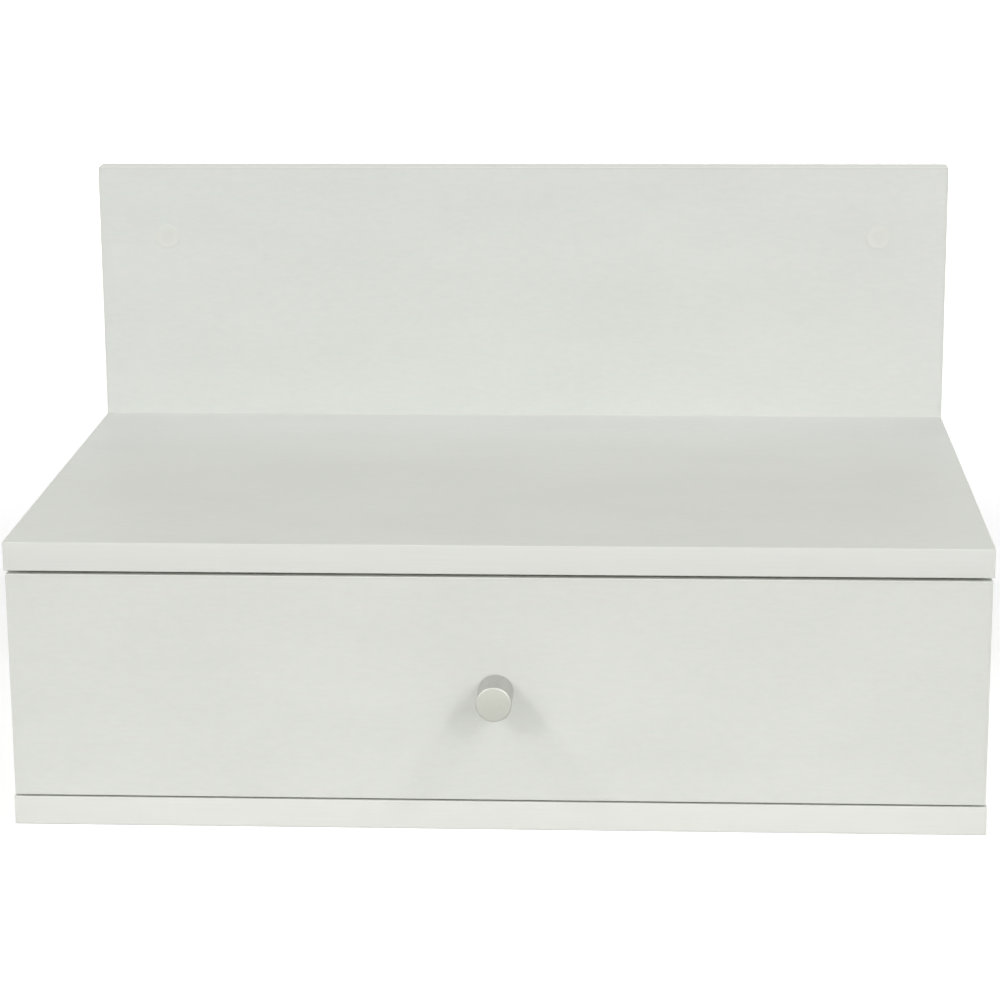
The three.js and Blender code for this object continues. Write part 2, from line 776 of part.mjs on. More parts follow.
function drawerBottom() {
  const half = drawerInner + grooveDepth - fitGap;
  const sheetOfBoard = block(
    at(-half, fitGap - grooveDepth, grooveRise), at(half, runnerLength, drawerBackFloor),
  );
  return piece('drawer_bottom', sheetOfBoard, hardboard);
}

// A straight round knob with a threaded blind hole in its base; the base is at the origin.
function knob() {
  const hole = knobScrewRadius + fitGap;
  const holeEnd = knobThreadDepth + 2 * fitGap;
  const body = turned([
    [0, holeEnd],
    [hole, holeEnd],
    [hole, 0],
    [knobRadius - knobChamfer, 0],
    [knobRadius, knobChamfer],
    [knobRadius, knobLength - knobChamfer],
    [knobRadius - knobChamfer, knobLength],
    [0, knobLength],
  ], finePolygon);
  const mesh = piece('knob', body, satinMetal);
  mesh.position.copy(knobPlace);
  mesh.quaternion.setFromUnitVectors(up, toFront);
  return mesh;
}

function drawer() {
  const group = new THREE.Group();
  group.position.set(0, drawerPlane, drawerFloor);
  group.add(drawerFront(), drawerBack(), drawerBottom(), knob());
  group.add(...[...drawerBolts, ...drawerBackScrews, knobScrewFixing].map(fixingPiece));
  const member = drawerMember();
  const cam = camDisc(drawerCamRadius, drawerSideThickness);
  for (const [hand, sign] of hands) {
    const screws = memberScrews(hand, sign);
    const runner = piece(`drawer_runner_${hand}`, sign > 0 ? member : mirrored(member), runnerPaint);
    runner.position.set(sign * drawerHalf, 0, -sheet);
    const rollerPlace = at(0, restOfRearRoller, rearRollerHeight - sheet);
    group.add(
      drawerSide(hand, sign, screws),
      runner,
      placedRoller(
        `rear_roller_${hand}`, sign, memberFace, rollerPlace, sign > 0 ? toRight : toLeft,
      ),
      placedCam(
        `drawer_cam_${hand}`, cam, at(sign * drawerHalf, camReach, drawerCamHeight),
        sign > 0 ? toLeft : toRight, toFront,
      ),
      ...screws.map(fixingPiece),
    );
  }
  return group;
}

const group = new THREE.Group();
group.add(carcass(), drawer());

export default group;
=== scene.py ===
"""Looks of the wall-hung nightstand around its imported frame.

Metres, +Z up, the front towards -Y.
"""
import json
import math

import bmesh
import bpy
from mathutils import Matrix, Vector


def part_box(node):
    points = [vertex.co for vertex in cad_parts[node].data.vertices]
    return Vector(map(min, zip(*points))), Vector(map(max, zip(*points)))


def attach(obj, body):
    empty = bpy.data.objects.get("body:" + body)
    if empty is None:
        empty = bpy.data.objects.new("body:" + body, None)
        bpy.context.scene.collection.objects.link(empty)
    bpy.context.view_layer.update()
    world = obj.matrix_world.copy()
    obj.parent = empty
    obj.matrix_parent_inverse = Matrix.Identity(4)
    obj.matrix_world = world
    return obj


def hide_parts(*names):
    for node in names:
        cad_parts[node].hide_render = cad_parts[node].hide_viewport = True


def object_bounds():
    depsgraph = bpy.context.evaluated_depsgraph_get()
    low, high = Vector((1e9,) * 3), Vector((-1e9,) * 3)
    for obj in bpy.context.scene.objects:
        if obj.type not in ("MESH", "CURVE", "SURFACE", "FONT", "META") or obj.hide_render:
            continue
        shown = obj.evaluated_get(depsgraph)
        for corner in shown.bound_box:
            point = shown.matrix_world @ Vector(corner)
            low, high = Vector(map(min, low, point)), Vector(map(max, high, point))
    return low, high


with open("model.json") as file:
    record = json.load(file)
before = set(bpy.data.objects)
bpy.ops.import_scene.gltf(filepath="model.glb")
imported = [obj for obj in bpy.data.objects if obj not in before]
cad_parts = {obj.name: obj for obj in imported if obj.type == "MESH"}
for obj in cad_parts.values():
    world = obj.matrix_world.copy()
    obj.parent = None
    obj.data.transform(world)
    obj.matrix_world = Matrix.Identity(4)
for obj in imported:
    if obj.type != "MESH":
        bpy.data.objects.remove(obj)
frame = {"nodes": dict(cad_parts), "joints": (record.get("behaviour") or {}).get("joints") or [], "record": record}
cad_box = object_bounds()

MM = 0.001
HANDS = ("left", "right")
ENDS = ("front", "rear")
AXES = "xyz"
X, Y, Z = Vector((1, 0, 0)), Vector((0, 1, 0)), Vector((0, 0, 1))
UNIT = dict(zip(AXES, (X, Y, Z)))
OVERRUN = 1 * MM  # how far a cutter runs past the face that it leaves through
FIT_GAP = 0.25 * MM  # round a piece that is seated in a hole or a groove

# How far from a corner its rounding starts
HAIR = 0.1 * MM
FINE = 0.2 * MM
SOFT = 0.3 * MM
ROUND = 0.4 * MM
WIDE = 0.5 * MM

# How many sides turned forms have
ROUND_SIDES = 64
HARDWARE_SIDES = 32
SMALL_SIDES = 24

# Camera: the place and the turns at which the photograph was taken
CAMERA_PLACE = Vector((0.0800, -1.7585, 0.2841))
CAMERA_YAW = math.radians(3.061)
CAMERA_PITCH = math.radians(14.278)
CAMERA_ROLL = math.radians(-0.381)
CAMERA_LENS = 107.43
SENSOR_WIDTH = 36

# Lamps: azimuth from the front towards +X, elevation, distance, width, height and the share of
# full brightness that each one gives to a face turned towards it
LAMPS = {
    "lamp_high_left": (-61.8, 46.9, 2.9, 0.14, 0.14, 0.130),
    "lamp_high_right": (60.3, 48.3, 2.9, 0.14, 0.14, 0.140),
    "lamp_middle_left": (-35, 27.5, 3.2, 0.6, 0.6, 0.130),
    "lamp_middle_right": (36, 28.5, 3.2, 0.6, 0.6, 0.132),
    "lamp_near_left": (-30, 10, 3.4, 0.85, 1.35, 0.020),
    "lamp_near_right": (30, 10, 3.4, 0.85, 1.35, 0.027),
    "lamp_wide_left": (-45, 15, 4.0, 2.0, 2.0, 0.065),
    "lamp_wide_right": (45, 15, 4.0, 2.0, 2.0, 0.092),
    "lamp_front": (0, 8, 4.4, 3.4, 1.4, 0.049),
    "lamp_above": (0, 80, 3.6, 2.6, 2.0, 0.118),
    "lamp_side_left": (-122, -1.8, 2.0, 1.4, 0.14, 0.22),
    "lamp_side_right": (122, -1.8, 2.0, 1.4, 0.14, 0.22),
    "lamp_rear": (180, -1.4, 2.6, 1.6, 0.14, 0.30),
}
WORLD_SHARE = 0.303
LAMP_AIM = Vector((0, -0.17, -0.12))


def linear(*values):
    """An sRGB colour, 0 to 255, as the scene-linear colour that a shader takes."""
    shares = [v / 255 for v in values]
    return [s / 12.92 if s <= 0.04045 else ((s + 0.055) / 1.055) ** 2.4 for s in shares]


# Parts of materials

WIDE_REACH = (0.3, 0.7)  # nearly all values of a noise lie here
NARROW_REACH = (0.35, 0.65)


def node(tree, kind, inputs=(), **settings):
    made = tree.nodes.new("ShaderNode" + kind)
    for key, value in settings.items():
        setattr(made, key, value)
    for key, value in dict(inputs).items():
        if isinstance(value, bpy.types.NodeSocket):
            tree.links.new(value, made.inputs[key])
        else:
            made.inputs[key].default_value = value
    return made


def math_node(tree, operation, first, second):
    return node(tree, "Math", {0: first, 1: second}, operation=operation).outputs[0]


def absolute(tree, value):
    return node(tree, "Math", {0: value}, operation="ABSOLUTE").outputs[0]


def length_of(tree, vector):
    return node(tree, "VectorMath", {0: vector}, operation="LENGTH").outputs["Value"]


def own_place(tree):
    """The point in the piece's own coordinates."""
    return node(tree, "TexCoord").outputs["Object"]


def split_place(tree):
    return node(tree, "SeparateXYZ", {"Vector": own_place(tree)}).outputs


def new_material(name, roughness, metallic=0.0):
    material = bpy.data.materials.new(name)
    material.use_nodes = True
    shader = material.node_tree.nodes["Principled BSDF"]
    shader.inputs["Roughness"].default_value = roughness
    shader.inputs["Metallic"].default_value = metallic
    return material, material.node_tree, shader


def noise(tree, cell, detail=2, roughness=0.5, shift=(0, 0, 0)):
    """Noise whose cells have the given size along X, Y and Z, or along all three."""
    sizes = cell if isinstance(cell, (list, tuple)) else [cell] * 3
    placed = node(tree, "Mapping", {
        "Vector": own_place(tree), "Scale": [1 / size for size in sizes], "Location": shift,
    })
    return node(tree, "TexNoise", {
        "Vector": placed.outputs["Vector"], "Scale": 1, "Detail": detail, "Roughness": roughness,
    }).outputs["Fac"]


def cell_along(grain, along, across):
    return [along if axis == grain else across for axis in AXES]


def spread(tree, value, low, high, to_low=0.0, to_high=1.0):
    """The value's stretch from low to high, run out to another stretch."""
    return node(tree, "MapRange", {
        "Value": value, "From Min": low, "From Max": high, "To Min": to_low, "To Max": to_high,
    }).outputs["Result"]


def blend_colours(tree, share, first, second, blend_type="MIX"):
    mix = node(tree, "Mix", data_type="RGBA", blend_type=blend_type)
    tree.links.new(share, mix.inputs[0])
    for socket, colour in ((mix.inputs[6], first), (mix.inputs[7], second)):
        if isinstance(colour, bpy.types.NodeSocket):
            tree.links.new(colour, socket)
        else:
            socket.default_value = (*colour, 1)
    return mix.outputs[2]


def painted(tree, shader, share, first, second):
    tree.links.new(blend_colours(tree, share, first, second), shader.inputs["Base Color"])


def roughened(tree, shader, marks, low, high):
    tree.links.new(spread(tree, marks, *WIDE_REACH, low, high), shader.inputs["Roughness"])


def bump(tree, shader, height, depth):
    made = node(tree, "Bump", {"Height": height, "Distance": depth, "Strength": 1})
    tree.links.new(made.outputs["Normal"], shader.inputs["Normal"])


def around(colour, share):
    """The colour a little darker and a little lighter."""
    tone = linear(*colour)
    return [v * (1 - share) for v in tone], [v * (1 + share) for v in tone]


def tinted(colour, share, cast):
    """The colour a little darker or lighter, and a little greener (cast under 0) or pinker."""
    leans = (1 + cast, 1 - cast / 3, 1 + cast / 3)
    return [value * (1 + share) * lean for value, lean in zip(linear(*colour), leans)]


def with_painted_light(tree, colour, painted_light):
    """The colour times the painted light and shade that it runs into along an axis."""
    place = split_place(tree)
    for axis, start, end, tone in painted_light:
        share = spread(tree, place[axis], start, end)
        colour = blend_colours(tree, share, colour, tone, "MULTIPLY")
    return colour


# Materials

BLOTCH_SHARE = 0.024  # how much darker and lighter than the mean the blotches are
CAST_SHARE = 0.010
EVEN_SHARE = 0.012  # how much nearly even colours vary
SKIN_DEPTH = 0.006 * MM
PEEL_SIZE = 0.4 * MM
CLOUD_SHIFT = (2, 4, 6)
MOULDED_CLOUDS = (6 * MM, 2, 0.5, CLOUD_SHIFT)
CAP_PAINTED_SHADE = (4.6 * MM, 3.2 * MM)  # from where to where a cap's dished middle turns darker: painted shade


def melamine(name, colour, grain, painted_light=()):
    """White melamine: hardly seen blotches drawn out along the grain, a fine emboss, and on some faces painted
    light and shade along an axis.
    """
    material, tree, shader = new_material(name, 0.45)
    blotches = noise(tree, cell_along(grain, 7 * MM, 2.4 * MM), 4, 0.65)
    clouds = noise(tree, cell_along(grain, 90 * MM, 40 * MM), shift=(3, 5, 7))
    casts = noise(tree, cell_along(grain, 9 * MM, 3 * MM), 4, 0.65, (11, 2, 5))
    cast = spread(tree, casts, 0.43, 0.57)
    dark, light = (
        blend_colours(
            tree, cast, tinted(colour, share, -CAST_SHARE), tinted(colour, share, CAST_SHARE),
        )
        for share in (-BLOTCH_SHARE, BLOTCH_SHARE)
    )
    tone = spread(tree, math_node(tree, "ADD", blotches, clouds), 0.7, 1.3)
    face = blend_colours(tree, tone, dark, light)
    tree.links.new(with_painted_light(tree, face, painted_light), shader.inputs["Base Color"])
    emboss = noise(tree, cell_along(grain, 3 * MM, 0.45 * MM), roughness=0.6)
    roughened(tree, shader, emboss, 0.40, 0.50)
    bump(tree, shader, emboss, 0.012 * MM)
    return material


def mottled(name, colours, roughness, skin, depth, clouds=None, reach=WIDE_REACH, metallic=0.0):
    """Runs between two colours by its clouds or else its skin. Its roughness varies if it's a pair.

    Skin and clouds are given as noise takes them.
    """
    varied = isinstance(roughness, tuple)
    material, tree, shader = new_material(name, roughness[0] if varied else roughness, metallic)
    skin_marks = noise(tree, *skin)
    colour_marks = noise(tree, *clouds) if clouds else skin_marks
    painted(tree, shader, spread(tree, colour_marks, *reach), *colours)
    if varied:
        roughened(tree, shader, skin_marks, *roughness)
    bump(tree, shader, skin_marks, depth)
    return material


def edge_band(name, grain):
    """Edge band: a little lighter and smoother than the face, with drawn lines along it."""
    lines = [cell_along(grain, 60 * MM, 0.5 * MM)]
    return mottled(name, around(LIGHTER, EVEN_SHARE), 0.38, lines, SKIN_DEPTH, reach=NARROW_REACH)


def chipboard(name):
    """The raw core of the board, seen in its holes."""
    material, tree, shader = new_material(name, 0.85)
    chips = node(tree, "TexVoronoi", {
        "Vector": own_place(tree), "Scale": 1 / (1.6 * MM), "Randomness": 1,
    })
    fibre = noise(tree, 0.4 * MM, 3, 0.7)
    chip_tone = node(tree, "RGBToBW", {"Color": chips.outputs["Color"]}).outputs[0]
    chip_colour = blend_colours(tree, chip_tone, linear(150, 118, 82), linear(214, 186, 146))
    painted(tree, shader, spread(tree, fibre, 0.35, 0.8), chip_colour, linear(120, 88, 58))
    bump(tree, shader, fibre, 0.15 * MM)
    return material


def hardboard_back(name):
    """The brown underside of the drawer's bottom, with the screen marks of its press."""
    material, tree, shader = new_material(name, 0.7)
    fibre = noise(tree, 1.2 * MM, 4, 0.7)
    fibre_tone = spread(tree, fibre, *WIDE_REACH)
    painted(tree, shader, fibre_tone, linear(112, 78, 50), linear(148, 110, 74))
    marks = {"Vector": own_place(tree), "Scale": 1 / (12 * MM), "Distortion": 0.2}
    screens = [
        node(tree, "TexWave", marks, bands_direction=axis).outputs["Fac"] for axis in "XY"
    ]
    bump(tree, shader, math_node(tree, "MULTIPLY", *screens), 0.08 * MM)
    return material


def satin_metal(name, colour, centre):
    """Brushed nickel turned round the Y axis through the centre, so its marks are rings."""
    material, tree, shader = new_material(name, 0.34, 1.0)
    offset = node(tree, "VectorMath", {0: own_place(tree), 1: centre}, operation="SUBTRACT")
    split = node(tree, "SeparateXYZ", {"Vector": offset.outputs["Vector"]}).outputs
    flat = node(tree, "CombineXYZ", {"X": split["X"], "Y": split["Z"]})
    radius = length_of(tree, flat.outputs[0])
    rings = node(tree, "CombineXYZ", {"X": radius, "Y": split["Y"]})
    marks = node(tree, "TexNoise", {
        "Vector": rings.outputs[0], "Scale": 1 / (0.16 * MM), "Detail": 2, "Roughness": 0.6,
    }).outputs["Fac"]
    painted(tree, shader, spread(tree, marks, *WIDE_REACH), *around(colour, 0.03))
    roughened(tree, shader, marks, 0.30, 0.40)
    bump(tree, shader, marks, SKIN_DEPTH)
    return material


def cap_plastic(name, colour, stain, painted_shade_colour, centre):
    """Moulded plastic with yellowed spots, and darker in the dished middle of each cap: painted shade."""
    material, tree, shader = new_material(name, 0.40)
    split = split_place(tree)
    offset = node(tree, "CombineXYZ", {
        "X": math_node(tree, "SUBTRACT", absolute(tree, split["X"]), abs(centre.x)),
        "Z": math_node(tree, "SUBTRACT", split["Z"], centre.z),
    })
    painted_shade_share = spread(tree, length_of(tree, offset.outputs[0]), *CAP_PAINTED_SHADE)
    cloud = spread(tree, noise(tree, 3 * MM, shift=CLOUD_SHIFT), 0.45, 0.65)
    stained = blend_colours(tree, cloud, linear(*colour), linear(*stain))
    # painted shade: the dished middle darker than the rim
    painted(tree, shader, painted_shade_share, stained, linear(*painted_shade_colour))
    bump(tree, shader, noise(tree, PEEL_SIZE), SKIN_DEPTH)
    return material


# Mesh forms

CORNER_STEPS = 5
MERGE_REACH = 1e-7
SQUARE_ON = 0.99999  # a face whose normal has this much along an axis is square to it
SHARP_ANGLE = math.radians(38)


def skinned(form, rings, index=0, end_index=None):
    """Joins closed rings of corners in their order and closes the first and the last one."""
    count = len(rings[0])
    for low, high in zip(rings, rings[1:]):
        for k in range(count):
            step = (k + 1) % count
            face = form.faces.new([low[k], low[step], high[step], high[k]])
            face.material_index = index
    for ring in (rings[0], rings[-1]):
        form.faces.new(ring).material_index = index if end_index is None else end_index


def ring_vertex(form, radius, turn, height):
    return form.verts.new((radius * math.cos(turn), radius * math.sin(turn), height))


def turned(form, profile, sides=ROUND_SIDES, index=0):
    """Adds a solid turned round +Z.

    The profile's pairs of radius and height close on the axis or on themselves.
    """
    rings = []
    for radius, height in profile:
        turns = [2 * math.pi * k / sides for k in range(sides)] if radius > 0 else [0]
        rings.append([ring_vertex(form, radius, turn, height) for turn in turns])
    pairs = list(zip(rings, rings[1:]))
    if profile[0][0] > 0:
        pairs.append((rings[-1], rings[0]))
    for low, high in pairs:
        for k in range(sides):
            corners = []
            for ring, step in ((low, k), (low, k + 1), (high, k + 1), (high, k)):
                vertex = ring[step % len(ring)]
                if vertex not in corners:
                    corners.append(vertex)
            if len(corners) > 2:
                form.faces.new(corners).material_index = index


def eased(points, reach=0.0, closed=False, steps=3):
    """The outline with its corners rounded, by no more than half of the sides that meet there.

    A point's third value is its own reach.
    """
    corners = [Vector(point[:2]) for point in points]
    made = []
    for k, corner in enumerate(corners):
        if not closed and k in (0, len(corners) - 1):
            made.append(corner)
            continue
        own = points[k][2] if len(points[k]) > 2 else reach
        before = corners[k - 1] - corner
        after = corners[(k + 1) % len(corners)] - corner
        cut = min(own, before.length / 2, after.length / 2)
        start = corner + before.normalized() * cut
        end = corner + after.normalized() * cut
        for step in range(steps + 1) if cut > 0 else [0]:
            t = step / steps
            made.append(start * (1 - t) ** 2 + corner * (2 * t * (1 - t)) + end * t ** 2)
    return [tuple(point) for point in made]


def extruded(form, outline, low, high, index=0, end_index=None):
    """Adds a closed outline in X and Z, run from low to high along +Y."""
    rings = [[form.verts.new((x, y, z)) for x, z in outline] for y in (low, high)]
    skinned(form, rings, index, end_index)


def block(form, low, high, index=0):
    outline = [(low[0], low[2]), (high[0], low[2]), (high[0], high[2]), (low[0], high[2])]
    extruded(form, outline, low[1], high[1], index)


def bevelled(form, reach, segments):
    bmesh.ops.bevel(
        form, geom=form.edges[:], offset=reach, segments=segments, affect="EDGES", profile=0.5,
    )


def aimed(place, direction, spin=0.0):
    """What turns +Z to the direction and takes the origin to the place."""
    turn = Vector(direction).to_track_quat("Z", "Y").to_matrix().to_4x4()
    return Matrix.Translation(place) @ turn @ Matrix.Rotation(spin, 4, "Z")


def moved(form, matrix):
    bmesh.ops.transform(form, matrix=matrix, verts=form.verts)
    return form


def added(form, other):
    """Puts the other form into this one."""
    mesh = bpy.data.meshes.new("joint")
    other.to_mesh(mesh)
    other.free()
    form.from_mesh(mesh)
    bpy.data.meshes.remove(mesh)


def as_object(name, form, paints):
    bmesh.ops.remove_doubles(form, verts=form.verts, dist=MERGE_REACH)
    bmesh.ops.recalc_face_normals(form, faces=form.faces)
    mesh = bpy.data.meshes.new(name)
    form.to_mesh(mesh)
    form.free()
    for material in paints:
        mesh.materials.append(material)
    made = bpy.data.objects.new(name, mesh)
    bpy.context.scene.collection.objects.link(made)
    return made


def shade(mesh):
    """Faces square to an axis stay flat; the rest are smooth up to sharp edges."""
    for face in mesh.polygons:
        face.use_smooth = max(abs(value) for value in face.normal) < SQUARE_ON
    mesh.set_sharp_from_angle(angle=SHARP_ANGLE)


def carved(name, form, tools, paints):
    """The form less its tools, as a mesh."""
    body = as_object(name + "_form", form, paints)
    tool = as_object(name + "_tool", tools, paints)
    cut = body.modifiers.new("cut", "BOOLEAN")
    cut.operation = "DIFFERENCE"
    cut.solver = "EXACT"
    cut.object = tool
    seen = body.evaluated_get(bpy.context.evaluated_depsgraph_get())
    mesh = bpy.data.meshes.new_from_object(seen)
    mesh.name = name
    for holder in (body, tool):
        bpy.data.objects.remove(holder)
    return mesh


def plain(name, form, paints):
    holder = as_object(name, form, paints)
    mesh = holder.data
    bpy.data.objects.remove(holder)
    return mesh


def form_of(mesh):
    form = bmesh.new()
    form.from_mesh(mesh)
    return form


# Pieces and their nodes

BODIES = {
    member: body
    for body, members in frame["record"]["behaviour"]["bodies"].items()
    for member in members
}


def dress(node_name, mesh, matrix=None):
    """A piece that stands for the CAD node of that name."""
    shade(mesh)
    piece = bpy.data.objects.new(f"fine_{node_name}", mesh)
    bpy.context.scene.collection.objects.link(piece)
    if matrix is not None:
        piece.matrix_world = matrix
    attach(piece, BODIES[node_name])
    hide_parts(node_name)


def turned_piece(name, profile, place, direction, look, sides=ROUND_SIDES):
    form = bmesh.new()
    turned(form, profile, sides)
    dress(name, plain(name, moved(form, aimed(place, direction)), [paint[look]]))


def named(prefix):
    return [name for name in frame["nodes"] if name.startswith(prefix)]


def outwards_of(name):
    """From the middle of the nightstand towards the named piece's side."""
    return X * (-1 if "left" in name else 1)


def middle(node_name):
    low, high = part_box(node_name)
    return (low + high) / 2


def main_axis(direction):
    return max(range(3), key=lambda k: abs(direction[k]))


def start_of(node_name, direction, head_height=0.0):
    """The middle of the box's first face along the direction, or of the face that a head sits on."""
    low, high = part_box(node_name)
    axis = main_axis(direction)
    place = (low + high) / 2
    place[axis] = low[axis] if direction[axis] > 0 else high[axis]
    return place + Vector(direction) * head_height


# Camera, lamps and floor

FLOOR_REACH = 14
FLOOR_DROP = 0.2 * MM
FLOOR_WHITE = 0.95
FAR_BOUNCE = 0.45  # how much of its light the floor sends back from farther than FAR_REACH
FAR_REACH = (0.60, 0.80)
MIRRORED_PAINTED_SHADE = 0.15  # painted shade: the dark colour that mirrored rays see on the floor below the object


def place_camera():
    data = bpy.data.cameras.new("camera")
    data.lens = CAMERA_LENS
    data.sensor_width = SENSOR_WIDTH
    camera = bpy.data.objects.new("camera", data)
    bpy.context.scene.collection.objects.link(camera)
    turn = Matrix.Rotation(CAMERA_YAW, 4, "Z")
    turn @= Matrix.Rotation(math.pi / 2 - CAMERA_PITCH, 4, "X")
    turn @= Matrix.Rotation(CAMERA_ROLL, 4, "Z")
    camera.matrix_world = Matrix.Translation(CAMERA_PLACE) @ turn
    bpy.context.scene.camera = camera


def place_lamp(name, azimuth, elevation, distance, width, height, share):
    data = bpy.data.lights.new(name, "AREA")
    data.shape = "RECTANGLE"
    data.size = width
    data.size_y = height
    data.energy = share * math.pi ** 2 * distance ** 2
    lamp = bpy.data.objects.new(name, data)
    bpy.context.scene.collection.objects.link(lamp)
    flat = math.cos(math.radians(elevation))
    towards = Vector((
        math.sin(math.radians(azimuth)) * flat,
        -math.cos(math.radians(azimuth)) * flat,
        math.sin(math.radians(elevation)),
    ))
    lamp.location = LAMP_AIM + towards * distance
    lamp.rotation_mode = "QUATERNION"
    lamp.rotation_quaternion = towards.to_track_quat("Z", "Y")


def showing_rays(tree):
    """Rays that show the background: straight ones, also through glass, mirrored ones, and all."""
    path = node(tree, "LightPath").outputs
    mirrored = path["Is Glossy Ray"]
    straight = math_node(tree, "MAXIMUM", path["Is Camera Ray"], path["Is Transmission Ray"])
    return straight, mirrored, math_node(tree, "MAXIMUM", straight, mirrored)


def light_world():
    world = bpy.data.worlds.new("studio")
    bpy.context.scene.world = world
    world.use_nodes = True
    tree = world.node_tree
    background = tree.nodes["Background"]
    background.inputs["Color"].default_value = (1, 1, 1, 1)
    showing = showing_rays(tree)[2]
    tree.links.new(spread(tree, showing, 0, 1, WORLD_SHARE, 1), background.inputs["Strength"])


def lay_floor():
    """A white floor that keeps the shadow near the object and runs out into the background."""
    form = bmesh.new()
    level = cad_box[0].z - FLOOR_DROP
    corners = [(-1, -1), (1, -1), (1, 1), (-1, 1)]
    form.faces.new([form.verts.new((x * FLOOR_REACH, y * FLOOR_REACH, level)) for x, y in corners])
    material, tree, shader = new_material("floor", 0.9)
    shader.inputs["Specular IOR Level"].default_value = 0.0
    straight, mirrored, showing = showing_rays(tree)
    away = length_of(tree, own_place(tree))
    split = split_place(tree)
    near = math_node(tree, "MAXIMUM", spread(tree, away, *reversed(FAR_REACH)), showing)
    pale = blend_colours(tree, near, [FAR_BOUNCE] * 3, [FLOOR_WHITE] * 3)
    # painted shade: below the object's front, mirrored rays see the floor dark
    painted_shade_below = math_node(
        tree, "MULTIPLY",
        spread(tree, absolute(tree, split["X"]), 0.30, 0.26),
        spread(tree, split["Y"], -0.40, -0.35),
    )
    painted(tree, shader, math_node(tree, "MULTIPLY", painted_shade_below, mirrored), pale, [MIRRORED_PAINTED_SHADE] * 3)
    seen_glow = spread(tree, away, 0.5, 1.4, 0.30, 1.0)
    mirror_glow = spread(tree, away, 0.9, 1.4)
    glow = math_node(
        tree, "ADD",
        math_node(tree, "MULTIPLY", straight, seen_glow),
        math_node(tree, "MULTIPLY", mirrored, mirror_glow),
    )
    shader.inputs["Emission Color"].default_value = (1, 1, 1, 1)
    tree.links.new(glow, shader.inputs["Emission Strength"])
    floor = as_object("floor", form, [material])


# Fixings. Each one is drawn along +Z from the face that it goes into.

# Sizes in mm: radius of the shank and the head, height of a pan head, length of the tip
FIXINGS = {
    "back_screw": (2, 4, 0, 4),
    "bottom_screw": (2, 4, 0, 4),
    "drawer_back_screw": (1.75, 3.5, 0, 3),
    "channel_screw": (1.75, 3.5, 1, 2),
    "drawer_runner_screw": (1.75, 3.5, 1, 2),
    "knob_screw": (2, 4, 2.5, 0.5),
}
SPIN_STEP = 0.7  # how much further each screw is turned than the one before
WOOD_PITCH = 1.8 * MM
MACHINE_PITCH = 0.7 * MM
THREAD_SHARE = 0.3  # of the shank's radius
THREAD_ROWS = 8  # rows of corners in a turn of thread
RIDGE_SHARE = 0.3  # half a ridge's width, as a share of the pitch
THREAD_OVERLAP = 0.05 * MM
TIP_RADIUS = 0.05 * MM
SINK_SHARE = 0.85  # how deep a countersunk head is to how far it stands out
HEAD_RIM = 0.15 * MM
CROSS_SHARES = (0.55, 0.24, 0.5)  # length, width and depth of a head's cross to its radius
CROSS_END_SHARE = 0.5


def direction_of(name):
    """The way that a fixing's hole runs. Screws point that way too, and cam bolts the other."""
    if name.startswith(("back_screw", "knob_screw")):
        return -Y
    if name.startswith("bottom_screw"):
        return Z
    if name.startswith(("cam_bolt", "dowel")):
        return -Z
    if name.startswith("drawer_cam_bolt"):
        return Y
    return outwards_of(name) if name.startswith("channel_screw") else -outwards_of(name)


def sizes_of(name):
    """A fixing's length along its direction, and its two sizes across."""
    low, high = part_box(name)
    axis = main_axis(direction_of(name))
    return high[axis] - low[axis], [(high - low)[k] for k in range(3) if k != axis]


def threaded(form, radius, depth, pitch, start, end, tip):
    """A rod with a screw thread, closed at both ends; it tapers over the tip."""
    count = int(round((end - start) / pitch * THREAD_ROWS))
    rings = []
    for row in range(count + 1):
        height = start + (end - start) * row / count
        taper = min(1.0, (end - height) / tip)
        ring = []
        for k in range(SMALL_SIDES):
            phase = (height / pitch - k / SMALL_SIDES) % 1
            ridge = max(0.0, 1 - abs(phase - 0.5) / RIDGE_SHARE)
            out = max((radius - depth + depth * ridge) * taper, TIP_RADIUS)
            ring.append(ring_vertex(form, out, 2 * math.pi * k / SMALL_SIDES, height))
        rings.append(ring)
    skinned(form, rings)


def cross_tool(arm, width, depth, top):
    """A tapered cross that is sunk into a head, from the top along +Z."""
    form = bmesh.new()
    half = width / 2
    outline = []
    for quarter in range(4):
        turn = Matrix.Rotation(math.pi / 2 * quarter, 2)
        for x, y in ((half, half), (half, arm), (-half, arm)):
            outline.append(turn @ Vector((x, y)))
    skinned(form, [
        [form.verts.new((x * share, y * share, height)) for x, y in outline]
        for height, share in ((top - OVERRUN, 1.0), (top, 1.0), (top + depth, CROSS_END_SHARE))
    ])
    return form


